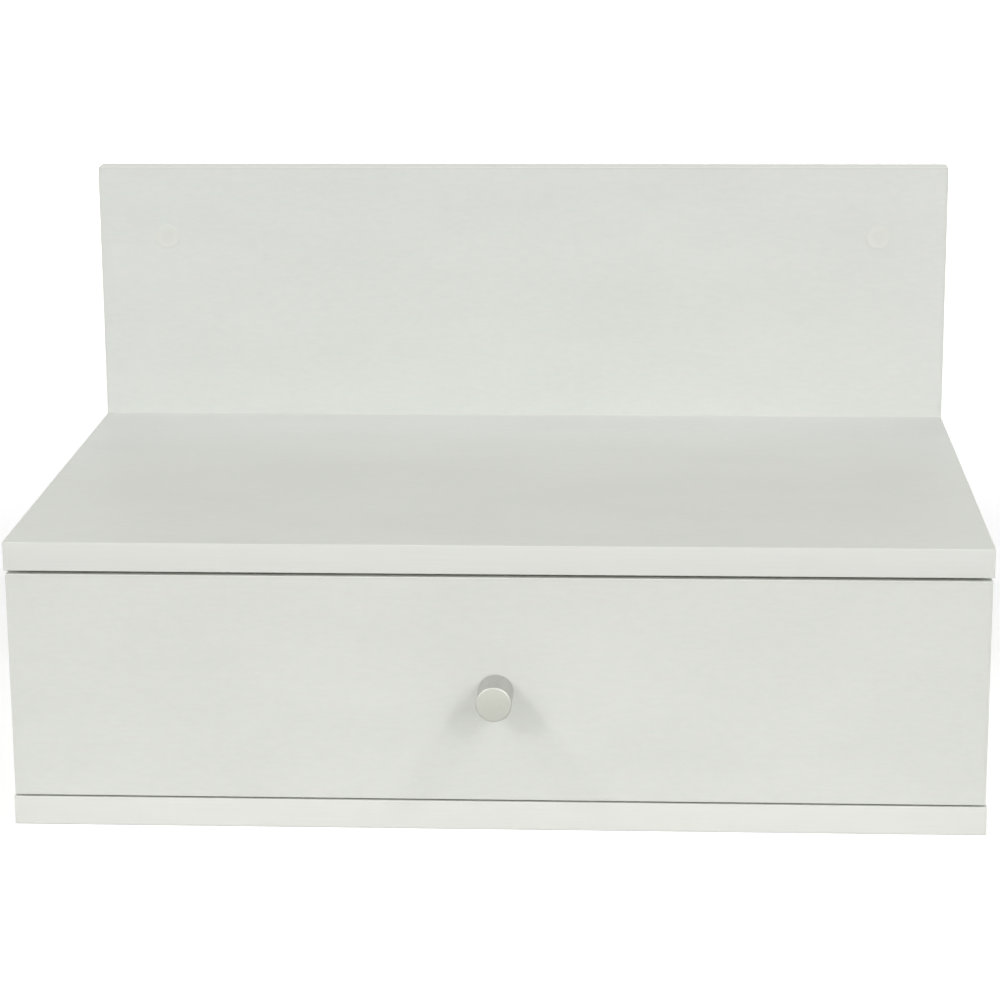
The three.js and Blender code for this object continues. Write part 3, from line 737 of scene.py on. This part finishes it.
def screw_mesh(prefix):
    """A screw: countersunk if its head has no height above the face, else with a pan head."""
    shank, head, head_height, tip = (value * MM for value in FIXINGS[prefix])
    length = sizes_of(named(prefix)[0])[0] - head_height
    pitch = MACHINE_PITCH if prefix == "knob_screw" else WOOD_PITCH
    root = shank * (1 - THREAD_SHARE)
    if head_height:
        top_share, side_share, sink = 0.62, 0.4, 0.3 * MM
        profile = [
            (0, -head_height, 0), (head * top_share, -head_height, SOFT),
            (head, -head_height * side_share, SOFT), (head, 0, HAIR),
            (root, 0, 0), (root, sink, 0),
        ]
    else:
        sink = (head - shank) * SINK_SHARE
        profile = [
            (0, 0, 0), (head - HEAD_RIM, 0, 0), (head, HEAD_RIM, 0),
            (shank, sink + HEAD_RIM, 0), (root, sink + 2 * HEAD_RIM, 0),
        ]
        sink += 2 * HEAD_RIM
    form = bmesh.new()
    turned(form, eased([*profile, (0, sink, 0)]), HARDWARE_SIDES)
    tools = cross_tool(*(head * share for share in CROSS_SHARES), -head_height)
    mesh = carved(prefix, form, tools, [paint["zinc"]])
    whole = form_of(mesh)
    start = sink - THREAD_OVERLAP
    threaded(whole, shank, shank * THREAD_SHARE, pitch, start, length, tip)
    whole.to_mesh(mesh)
    whole.free()
    return mesh


def place_fixing(name, mesh, direction, head_height=0.0, spin=0.0):
    dress(name, mesh, aimed(start_of(name, direction, head_height), direction, spin))


def build_screws():
    for prefix, (_, _, head_height, _) in FIXINGS.items():
        mesh = screw_mesh(prefix)
        for k, name in enumerate(named(prefix)):
            place_fixing(name, mesh, direction_of(name), head_height * MM, SPIN_STEP * k)


# Holes

CAP_SEAT_RADIUS = 6 * MM
CAP_SEAT_DEPTH = 9 * MM
WALL_HOLE_RADIUS = 3.25 * MM

# Which of a board's paints a face has
FACE = 0
BAND = 1
CORE = 2


def hole(*steps):
    """A hole's profile from pairs of radius and height, closed on its axis."""
    return [(0, steps[0][1]), *steps, (0, steps[-1][1])]


def bored(tools, profile, place, direction, sides=HARDWARE_SIDES, index=CORE):
    """Adds a turned hole whose profile runs from the place along the direction."""
    form = bmesh.new()
    turned(form, profile, sides, index)
    added(tools, moved(form, aimed(place, direction)))


def seat_hole(tools, name):
    """The hole of a fixing: its own outline with a gap round it."""
    length, across = sizes_of(name)
    end = length + FIT_GAP
    kind = next((prefix for prefix in FIXINGS if name.startswith(prefix)), None)
    if kind is None:
        radius = max(across) / 2 + FIT_GAP
        profile = hole((radius, -FIT_GAP), (radius, end))
    else:
        shank, head, head_height, _ = (value * MM for value in FIXINGS[kind])
        shank += FIT_GAP
        if head_height:
            profile = hole((shank, head_height - OVERRUN), (shank, end))
        else:
            head += FIT_GAP
            sink = (head - shank) * SINK_SHARE + FIT_GAP
            profile = hole((head, -OVERRUN), (head, FIT_GAP), (shank, sink), (shank, end))
    direction = direction_of(name)
    bored(tools, profile, start_of(name, direction), direction)


def wall_hole(tools, hand):
    """The seat of a cap and the wall screw's hole behind it."""
    low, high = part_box("back_panel")
    through = high.y - low.y + OVERRUN
    profile = hole(
        (CAP_SEAT_RADIUS, -OVERRUN), (CAP_SEAT_RADIUS, CAP_SEAT_DEPTH),
        (WALL_HOLE_RADIUS, CAP_SEAT_DEPTH), (WALL_HOLE_RADIUS, through),
    )
    place = middle(f"wall_screw_cap_{hand}")
    place.y = low.y
    bored(tools, profile, place, Y, ROUND_SIDES)


def cam_direction(name):
    """From a cam's face into its board."""
    return -outwards_of(name) if name.startswith("drawer_cam") else outwards_of(name)


def cam_bore(tools, name):
    """The bore that a cam lies in, open on the side that its face shows on."""
    low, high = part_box(name)
    inwards = cam_direction(name)
    radius = (high.z - low.z) / 2 + FIT_GAP
    profile = hole((radius, -OVERRUN), (radius, high.x - low.x + FIT_GAP))
    bored(tools, profile, start_of(name, inwards), inwards, ROUND_SIDES)


def bottom_groove(tools):
    """The drawer bottom's groove, as wide as the bottom and its gap."""
    low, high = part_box("drawer_bottom")
    block(
        tools,
        (low.x - FIT_GAP, low.y - FIT_GAP, low.z),
        (high.x + FIT_GAP, high.y + OVERRUN, high.z + FIT_GAP),
        CORE,
    )


# Boards

BAND_THICKNESS = 0.8 * MM
BAND_RADIUS = 0.6 * MM
FRONT_BAND_RADIUS = 0.78 * MM  # the drawer front's, whose upper edge is rounder
BAND_GAP = 0.02 * MM
OPEN_BAND_GAP = 0.04 * MM  # the back panel's, whose glue line shows
CORE_EASE = 0.08 * MM
FOIL_RADIUS = 1 * MM
HARDBOARD_EASE = 0.15 * MM


def board_form(low, high, thin, sharp=(), band_gap=BAND_GAP, band_radius=BAND_RADIUS):
    """A faced core and its edge band, sharp on the sides that lie against other boards."""
    order = {"x": "yzx", "y": "zxy", "z": "xyz"}[thin]
    size = high - low
    along, across, through = (size[AXES.index(axis)] / 2 for axis in order)
    form = bmesh.new()
    inset = BAND_THICKNESS + band_gap
    core = Vector((2 * (along - inset), 2 * (across - inset), 2 * through))
    bmesh.ops.create_cube(form, size=1, matrix=Matrix.Diagonal((*core, 1)))
    bevelled(form, CORE_EASE, 1)
    for face in form.faces:
        face.material_index = FACE if abs(face.normal.z) > 0.5 else CORE
    first, second = (UNIT[axis] for axis in order[:2])
    rings = []
    for quarter, (right, rear) in enumerate(((1, 1), (-1, 1), (-1, -1), (1, -1))):
        x, y = right * (along - BAND_THICKNESS), rear * (across - BAND_THICKNESS)
        for step in range(CORNER_STEPS + 1):
            turn = math.pi / 2 * (quarter + step / CORNER_STEPS)
            out_x, out_y = math.cos(turn), math.sin(turn)
            towards = first * out_x + second * out_y
            hidden = max([0, *(towards.dot(side) for side in sharp)])
            radius = band_radius + (CORE_EASE - band_radius) * hidden
            profile = eased([
                (0, -through, CORE_EASE), (BAND_THICKNESS, -through, radius),
                (BAND_THICKNESS, through, radius), (0, through, CORE_EASE),
            ], closed=True, steps=4)
            rings.append([
                form.verts.new((x + out * out_x, y + out * out_y, height))
                for out, height in profile
            ])
    for k, ring in enumerate(rings):
        after = rings[(k + 1) % len(rings)]
        for j in range(len(ring)):
            step = (j + 1) % len(ring)
            face = form.faces.new([ring[j], after[j], after[step], ring[step]])
            face.material_index = BAND
    turn = Matrix([UNIT[axis] for axis in order]).transposed().to_4x4()
    place = Matrix.Translation((low + high) / 2)
    return moved(form, place @ turn)


def board_tools(holes, extra):
    tools = bmesh.new()
    for fixing_name in holes:
        seat_hole(tools, fixing_name)
    if extra:
        extra(tools)
    return tools


def faced_board(name, thin, face, band, holes, extra=None, **form_settings):
    form = board_form(*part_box(name), thin, **form_settings)
    paints = [paint[face], paint[band], paint["core"]]
    dress(name, carved(name, form, board_tools(holes, extra), paints))


def foiled_board(name, thin, holes, extra=None):
    """A wrapped drawer board: long edges rounded under the foil, raw at its two ends."""
    low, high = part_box(name)
    half = (high - low) / 2
    across, along = (half.x, half.y) if thin == "x" else (half.y, half.x)
    corners = [(-across, -half.z), (across, -half.z), (across, half.z), (-across, half.z)]
    form = bmesh.new()
    outline = eased(corners, FOIL_RADIUS, closed=True, steps=CORNER_STEPS)
    extruded(form, outline, -along, along, FACE, CORE)
    turn = Matrix.Rotation(0 if thin == "x" else math.pi / 2, 4, "Z")
    moved(form, Matrix.Translation((low + high) / 2) @ turn)
    looks = ("side_face", "band_y", "core") if thin == "x" else ("front_face", "band_x", "core")
    tools = board_tools(holes, extra)
    dress(name, carved(name, form, tools, [paint[look] for look in looks]))


def carcass_boards():
    faced_board(
        "back_panel", "y", "back_face_painted_light", "band_x", named("back_screw"),
        lambda tools: [wall_hole(tools, hand) for hand in HANDS], band_gap=OPEN_BAND_GAP,
    )
    faced_board(
        "shelf_panel", "z", "shelf_face_painted_light_and_shade", "band_x",
        named("back_screw_upper") + named("cam_bolt") + named("dowel"), sharp=[Y],
    )
    faced_board(
        "bottom_panel", "z", "front_face", "band_x",
        named("back_screw_lower") + named("bottom_screw"), sharp=[Y],
    )
    for hand in HANDS:
        mine = [
            f"{kind}_{hand}_{end}"
            for kind in ("bottom_screw", "cam_bolt", "dowel", "channel_screw") for end in ENDS
        ]
        faced_board(
            f"side_panel_{hand}", "x", "side_face", "band_y", mine,
            lambda tools: [cam_bore(tools, f"cam_{hand}_{end}") for end in ENDS],
            sharp=[Y, Z, -Z],
        )


def drawer_bottom():
    """Thin hardboard, painted on its upper face."""
    low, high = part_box("drawer_bottom")
    form = bmesh.new()
    block(form, low, high, 1)
    form.normal_update()
    for face in form.faces:
        if face.calc_center_median().z > high.z - HARDBOARD_EASE:
            face.material_index = 0
    bevelled(form, HARDBOARD_EASE, 2)
    paints = [paint["hardboard_top"], paint["hardboard_back"]]
    dress("drawer_bottom", plain("drawer_bottom", form, paints))


def drawer_boards():
    faced_board(
        "drawer_front", "y", "drawer_face_painted_light", "band_x", named("drawer_cam_bolt") + ["knob_screw"],
        bottom_groove, band_radius=FRONT_BAND_RADIUS,
    )
    for hand in HANDS:
        mine = [
            *named(f"drawer_back_screw_{hand}"), *named(f"drawer_runner_screw_{hand}"),
            f"drawer_cam_bolt_{hand}",
        ]

        def extra(tools):
            bottom_groove(tools)
            cam_bore(tools, f"drawer_cam_{hand}")

        foiled_board(f"drawer_side_{hand}", "x", mine, extra)
    foiled_board("drawer_back", "y", named("drawer_back_screw"))
    drawer_bottom()


# Knob and caps


def knob():
    """A straight turned knob, its rims broken, with a threaded hole in its base."""
    low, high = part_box("knob")
    radius = (high.x - low.x) / 2
    length = high.y - low.y
    hole_radius, hole_end, rim = 2.25 * MM, 8.5 * MM, 0.3 * MM
    profile = eased([
        (0, hole_end), (hole_radius, hole_end, 0), (hole_radius, 0, SOFT),
        (radius - rim, 0), (radius, rim), (radius, length - rim), (radius - rim, length),
        (0, length),
    ], FINE, steps=4)
    form = bmesh.new()
    turned(form, profile, sides=128)
    # painted light: the front face gets a lighter, yellower copy of the nickel than the barrel
    for face in form.faces:
        if face.calc_center_median().z > length - rim / 4:
            face.material_index = 1
    moved(form, aimed(start_of("knob", -Y), -Y))
    dress("knob", plain("knob", form, [paint["knob"], paint["knob_painted_lit_face"]]))


def cap(hand):
    """A wall screw's cap: a rim with a dished middle and a hollow stem."""
    name = f"wall_screw_cap_{hand}"
    rim, rim_height, dish, dish_floor, dish_depth = 7 * MM, 0.3 * MM, 5.2 * MM, 2.6 * MM, 0.2 * MM
    stem, stem_length, wall = 5.75 * MM, 6 * MM, 1 * MM
    lid = rim_height - dish_depth
    inside = stem - wall
    profile = eased([
        (0, lid - wall), (inside, lid - wall, FINE), (inside, -stem_length, FINE),
        (stem, -stem_length, ROUND), (stem, 0, 0), (rim, 0, HAIR),
        (rim, rim_height, SOFT), (dish, rim_height, 1.0 * MM), (dish_floor, lid, 1.3 * MM),
        (0, lid),
    ], steps=5)
    place = middle(name)
    place.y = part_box("back_panel")[0].y
    turned_piece(name, profile, place, -Y, "cap", sides=96)


# Rollers and runners. The runners are drawn for the right-hand side and mirrored for the left.

TRAVEL = next(joint for joint in frame["joints"] if joint["name"] == "drawer_slide")["range_m"][1]

ROLLER_RECESS = 1.25 * MM
AXLE_RADIUS = 2.5 * MM
AXLE_GAP = 0.1 * MM
SHEET = 1.25 * MM
BEND = 1.5 * MM
INNER_BEND = BEND - SHEET + 0.3 * MM
FOOT_INNER_BEND = BEND - SHEET + 0.1 * MM
STOP_HEIGHT = 3 * MM
LIP_HEIGHT = 2.5 * MM
FLANGE_END_GAP = 2 * MM
WEB_HOLE_RADIUS = 2 * MM
SLOT_RADIUS = 2.25 * MM
SLOT_LENGTH = 10 * MM
SLOT_SHARES = (0.36, 0.64)
SLOT_STEPS = 8


def roller(name):
    low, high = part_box(name)
    radius = (high.z - low.z) / 2
    width = high.x - low.x
    edge, recess_radius, bore_radius = 0.9 * MM, 4.5 * MM, AXLE_RADIUS + AXLE_GAP
    floor = width - ROLLER_RECESS
    profile = eased([
        (bore_radius, 0, FINE), (radius - edge, 0, SOFT), (radius, edge, WIDE),
        (radius, width - edge, WIDE), (radius - edge, width, SOFT),
        (recess_radius, width, SOFT), (recess_radius, floor, FINE),
        (bore_radius, floor, HAIR),
    ], closed=True)
    away = outwards_of(name) if name.startswith("rear") else -outwards_of(name)
    turned_piece(name, profile, start_of(name, away), away, "roller")


def axle(form, web_face, roller_name, away):
    """The riveted axle between a web's face and its roller's recess; away is +1 or -1 along X."""
    low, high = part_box(roller_name)
    near = abs((low.x if away > 0 else high.x) - web_face)
    shoulder_end = near - FIT_GAP
    head_start = near + (high.x - low.x) - ROLLER_RECESS + FIT_GAP
    head_end = near + (high.x - low.x)
    shoulder, head, dimple, dimple_floor = 4 * MM, 3.75 * MM, 1.2 * MM, 0.8 * MM
    dimple_end = head_end - 0.4 * MM
    profile = eased([
        (0, -SHEET / 2), (shoulder, -SHEET / 2, 0), (shoulder, shoulder_end, FINE),
        (AXLE_RADIUS, shoulder_end, 0), (AXLE_RADIUS, head_start, 0),
        (head, head_start, HAIR), (head, head_end, 0.6 * MM), (dimple, head_end, FINE),
        (dimple_floor, dimple_end, FINE), (0, dimple_end),
    ])
    pin = bmesh.new()
    turned(pin, profile, HARDWARE_SIDES)
    place = (low + high) / 2
    place.x = web_face
    added(form, moved(pin, aimed(place, X * away)))


def web_slots(tools, web_x, start, length, height):
    """Two adjusting slots through a web that lies between web_x and a sheet further out."""
    half = SLOT_LENGTH / 2 - SLOT_RADIUS
    onto_web = Matrix(((0, 1, 0, web_x), (1, 0, 0, 0), (0, 0, 1, 0), (0, 0, 0, 1)))
    for share in SLOT_SHARES:
        centre = start + length * share
        outline = []
        for end, base in ((half, 0.0), (-half, math.pi)):
            for step in range(SLOT_STEPS + 1):
                turn = base - math.pi / 2 + math.pi * step / SLOT_STEPS
                outline.append((
                    centre + end + SLOT_RADIUS * math.cos(turn),
                    height + SLOT_RADIUS * math.sin(turn),
                ))
        form = bmesh.new()
        extruded(form, outline, -OVERRUN, SHEET + OVERRUN)
        added(tools, moved(form, onto_web))


def web_holes(tools, web_x, prefix):
    profile = hole((WEB_HOLE_RADIUS, -OVERRUN), (WEB_HOLE_RADIUS, SHEET + OVERRUN))
    for end in ENDS:
        place = middle(f"{prefix}_right_{end}")
        place.x = web_x
        bored(tools, profile, place, X)


def folded(name, screws, web_x, outline, cut_low, cut_high):
    """A folded sheet as long as its CAD node, cut away, with slots and screw holes in its web."""
    low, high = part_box(f"{name}_right")
    form = bmesh.new()
    extruded(form, eased(outline, closed=True, steps=4), low.y, high.y)
    tools = bmesh.new()
    block(tools, cut_low, cut_high)
    web_slots(tools, web_x, low.y, high.y - low.y, middle("rear_roller_right").z)
    web_holes(tools, web_x, screws)
    return form_of(carved(name, form, tools, [paint["runner"]]))


def channel_runner():
    """The channel on the side panel, its lower flange cut away for the front roller."""
    low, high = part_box("channel_runner_right")
    web_x = high.x - SHEET
    outline = [
        (low.x, low.z, ROUND), (high.x, low.z, BEND), (high.x, high.z, BEND),
        (low.x, high.z, ROUND), (low.x, high.z - SHEET, ROUND),
        (web_x, high.z - SHEET, INNER_BEND), (web_x, low.z + SHEET, INNER_BEND),
        (low.x, low.z + SHEET, ROUND),
    ]
    roller_low, roller_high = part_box("rear_roller_right")
    rear_roller = (roller_low + roller_high) / 2
    radius = (roller_high.z - roller_low.z) / 2
    stop_top = low.z + SHEET + STOP_HEIGHT
    contact = math.sqrt(radius ** 2 - (rear_roller.z - stop_top) ** 2)
    stop_face = rear_roller.y - TRAVEL - contact - FIT_GAP
    whole = folded(
        "channel_runner", "channel_screw", web_x, outline,
        (low.x - OVERRUN, low.y - OVERRUN, low.z - OVERRUN),
        (web_x, stop_face - SHEET, low.z + SHEET + OVERRUN),
    )
    tab = bmesh.new()
    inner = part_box("front_roller_right")[0].x
    block(tab, (inner, stop_face - SHEET, low.z), (web_x, stop_face, stop_top))
    bevelled(tab, SOFT, 3)
    added(whole, tab)
    axle(whole, web_x, "front_roller_right", -1)
    return whole


def drawer_runner():
    """The member under the drawer side: a foot, a web and a riding flange with a guide lip."""
    low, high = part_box("drawer_runner_right")
    web_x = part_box("drawer_side_right")[1].x
    lip_end = high.z - SHEET - LIP_HEIGHT
    outline = [
        (low.x, low.z, ROUND), (web_x + SHEET, low.z, BEND),
        (web_x + SHEET, high.z - SHEET, INNER_BEND), (high.x - SHEET, high.z - SHEET, INNER_BEND),
        (high.x - SHEET, lip_end, ROUND), (high.x, lip_end, ROUND),
        (high.x, high.z, BEND), (web_x, high.z, BEND), (web_x, low.z + SHEET, FOOT_INNER_BEND),
        (low.x, low.z + SHEET, ROUND),
    ]
    flange_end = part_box("rear_roller_right")[0].y - FLANGE_END_GAP
    whole = folded(
        "drawer_runner", "drawer_runner_screw", web_x, outline,
        (web_x + SHEET, flange_end, low.z - OVERRUN),
        (high.x + OVERRUN, high.y + OVERRUN, high.z + OVERRUN),
    )
    axle(whole, web_x + SHEET, "rear_roller_right", 1)
    return whole


def both_hands(prefix, form):
    paints = [paint["runner"]]
    right = plain(f"{prefix}_right", form.copy(), paints)
    bmesh.ops.scale(form, vec=(-1, 1, 1), verts=form.verts)
    left = plain(f"{prefix}_left", form, paints)
    dress(f"{prefix}_right", right)
    dress(f"{prefix}_left", left)


# Fittings: cams with their bolts, and dowels

CAM_RIM = 0.4 * MM  # how deep a cam's face lies behind its rim
BOLT_HEAD = 3 * MM
BOLT_NECK = 7.5 * MM
BOLT_NECK_RADIUS = 1.75 * MM
BOLT_THREAD = 12.25 * MM
FLUTES = 20
FLUTE_DEPTH = 0.22 * MM
FLUTE_SHARES = ((0.05, 0), (0.5, 0), (0.65, FLUTE_DEPTH), (0.9, FLUTE_DEPTH))
DOWEL_EASE = 0.8 * MM
DOWEL_END_SHARE = 0.84


def cam(name, towards):
    """A cast cam with a cross recess and an arrow to its bolt, which slot and chamber let in."""
    low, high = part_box(name)
    inwards = cam_direction(name)
    radius = (high.z - low.z) / 2
    depth = high.x - low.x
    face = start_of(name, inwards)
    bolt_name = name.replace("cam", "cam_bolt")
    bolt_low, bolt_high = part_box(bolt_name)
    bolt_radius = (bolt_high.x - bolt_low.x) / 2 + FIT_GAP
    level = Vector((0, 0, abs(middle(bolt_name).x - face.x)))
    form = bmesh.new()
    rim_width, rim_foot = 1.1 * MM, 1.4 * MM
    turned(form, eased([
        (0, CAM_RIM), (radius - rim_foot, CAM_RIM, FINE), (radius - rim_width, 0, HAIR),
        (radius, 0, ROUND), (radius, depth, SOFT), (0, depth),
    ]))
    tools = cross_tool(arm=radius / 2, width=1.6 * MM, depth=2 * MM, top=CAM_RIM)
    tip, base, half, arrow_depth = radius - 1.7 * MM, radius - 3.0 * MM, 0.9 * MM, 0.35 * MM
    arrow = bmesh.new()
    skinned(arrow, [
        [arrow.verts.new((x, y, z)) for x, y in ((tip, 0), (base, half), (base, -half))]
        for z in (CAM_RIM - OVERRUN, CAM_RIM + arrow_depth)
    ])
    added(tools, moved(arrow, Matrix.Rotation(math.pi / 4, 4, "Z")))
    half_head = BOLT_HEAD / 2 + FIT_GAP
    neck_radius = BOLT_NECK_RADIUS + FIT_GAP
    for profile in (
        hole((bolt_radius, -half_head), (bolt_radius, half_head)),
        hole((neck_radius, 0), (neck_radius, radius + OVERRUN)),
    ):
        bored(tools, profile, level, X, SMALL_SIDES, FACE)
    mesh = carved(name, form, tools, [paint["zinc"]])
    basis = Matrix([towards, inwards.cross(towards), inwards]).transposed().to_4x4()
    dress(name, mesh, Matrix.Translation(face) @ basis)


def bolt_mesh(sample):
    """A cam's bolt, drawn from its head: head, neck, shank and thread."""
    length, across = sizes_of(sample)
    radius = min(across) / 2
    neck_end = BOLT_HEAD + BOLT_NECK
    thread_start = length - BOLT_THREAD
    depth, pitch, overlap, tip = radius * 0.28, 2.5 * MM, 0.1 * MM, 1.2 * MM
    form = bmesh.new()
    turned(form, eased([
        (0, 0), (radius, 0, WIDE), (radius, BOLT_HEAD, 0.8 * MM),
        (BOLT_NECK_RADIUS, BOLT_HEAD, SOFT), (BOLT_NECK_RADIUS, neck_end, ROUND),
        (radius, neck_end, ROUND), (radius, thread_start - 0.4 * MM, SOFT),
        (radius - depth, thread_start, 0), (0, thread_start, 0),
    ]), HARDWARE_SIDES)
    threaded(form, radius, depth, pitch, thread_start - overlap, length, tip)
    return plain(sample, form, [paint["zinc"]])


def dowel_mesh(sample):
    """A fluted dowel with eased ends."""
    low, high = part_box(sample)
    length = high.z - low.z
    radius = (high.x - low.x) / 2
    form = bmesh.new()
    rings = []
    for height, taper in (
        (0, DOWEL_END_SHARE), (DOWEL_EASE, 1), (length - DOWEL_EASE, 1), (length, DOWEL_END_SHARE),
    ):
        ring = []
        for flute in range(FLUTES):
            for share, sunk in FLUTE_SHARES:
                turn = 2 * math.pi * (flute + share) / FLUTES
                ring.append(ring_vertex(form, (radius - sunk) * taper, turn, height))
        rings.append(ring)
    skinned(form, rings)
    return plain(sample, form, [paint["beech"]])


def build_fittings():
    for prefix, towards in (("cam_bolt", Z), ("drawer_cam_bolt", -Y)):
        names = named(prefix)
        mesh = bolt_mesh(names[0])
        for name in names:
            place_fixing(name, mesh, -direction_of(name))
            cam(name.replace("cam_bolt", "cam"), towards)
    names = named("dowel")
    mesh = dowel_mesh(names[0])
    for name in names:
        place_fixing(name, mesh, direction_of(name))


# Colours, and the painted light and shade that some faces get: along which axis, from where, to
# where and into which tone

WHITE = (220.5, 222, 216)
LIGHTER = (226.5, 227.5, 221.5)
# painted light: the back panel lighter and a little redder towards its right end
BACK_PAINTED_LIGHT = [("X", 0.02, 0.22, (1.017, 1.009, 1.009))]
# painted light and shade: the shelf cooler towards the rear and warmer towards the front, and darker along its
# joint with the back panel
SHELF_PAINTED_LIGHT_AND_SHADE = [
    ("Y", -0.020, -0.170, (1.000, 1.000, 0.985)),
    ("Y", -0.170, -0.020, (0.995, 0.998, 1.022)),
    ("Y", -0.062, -0.030, (0.965, 0.966, 0.968)),
]
# painted light: the drawer front's upper part lighter
FRONT_PAINTED_LIGHT = [("Z", -0.205, -0.130, (1.022, 1.021, 1.012))]

paint = {
    # painted light: the back panel's white is lighter and a little cooler than the other boards'
    "back_face_painted_light": melamine("melamine_of_back_painted_light", (222.3, 225, 219.7), "x", BACK_PAINTED_LIGHT),
    "shelf_face_painted_light_and_shade": melamine("melamine_of_shelf_painted_light_and_shade", WHITE, "x", SHELF_PAINTED_LIGHT_AND_SHADE),
    "drawer_face_painted_light": melamine("melamine_of_drawer_front_painted_light", WHITE, "x", FRONT_PAINTED_LIGHT),
    "front_face": melamine("melamine_along_x", WHITE, "x"),
    "side_face": melamine("melamine_along_y", WHITE, "y"),
    "band_x": edge_band("edge_band_along_x", "x"),
    "band_y": edge_band("edge_band_along_y", "y"),
    "core": chipboard("raw_chipboard"),
    "hardboard_top": melamine("painted_hardboard", (214, 216, 208), "x"),
    "hardboard_back": hardboard_back("bare_hardboard"),
    # lit and shaded copies of one nickel: the barrel's colour is painted shade and the face's is painted light
    "knob": satin_metal("satin_nickel", (199, 199, 196.5), middle("knob")),
    "knob_painted_lit_face": satin_metal("satin_nickel_painted_lit_face", (205, 205.8, 196.5), middle("knob")),
    # the cap's third colour is painted shade in its dished middle
    "cap": cap_plastic(
        "cap_plastic", (225.5, 226.6, 221.5), (225, 225.6, 217.0), (222.2, 223.4, 217.7),
        middle("wall_screw_cap_right"),
    ),
    "runner": mottled(
        "white_powder_coat", around((230, 230, 224), EVEN_SHARE), (0.38, 0.46), [0.6 * MM],
        0.02 * MM, MOULDED_CLOUDS,
    ),
    "roller": mottled(
        "white_nylon", around((233, 232, 226), EVEN_SHARE), (0.41, 0.49), [PEEL_SIZE],
        SKIN_DEPTH, MOULDED_CLOUDS,
    ),
    "zinc": mottled(
        "bright_zinc", around((190, 193, 197), 0.10), (0.26, 0.42), [0.9 * MM, 3, 0.6],
        0.01 * MM, metallic=1.0,
    ),
    "beech": mottled(
        "raw_beech", (linear(190, 154, 112), linear(222, 190, 150)), 0.75,
        [(0.3 * MM, 0.3 * MM, 5 * MM), 3, 0.6], 0.05 * MM,
    ),
}

bpy.context.scene.view_settings.view_transform = "Standard"
place_camera()
for lamp_name, lamp_values in LAMPS.items():
    place_lamp(lamp_name, *lamp_values)
light_world()
lay_floor()
carcass_boards()
drawer_boards()
knob()
for hand_name in HANDS:
    cap(hand_name)
    roller(f"front_roller_{hand_name}")
    roller(f"rear_roller_{hand_name}")
both_hands("channel_runner", channel_runner())
both_hands("drawer_runner", drawer_runner())
build_screws()
build_fittings()
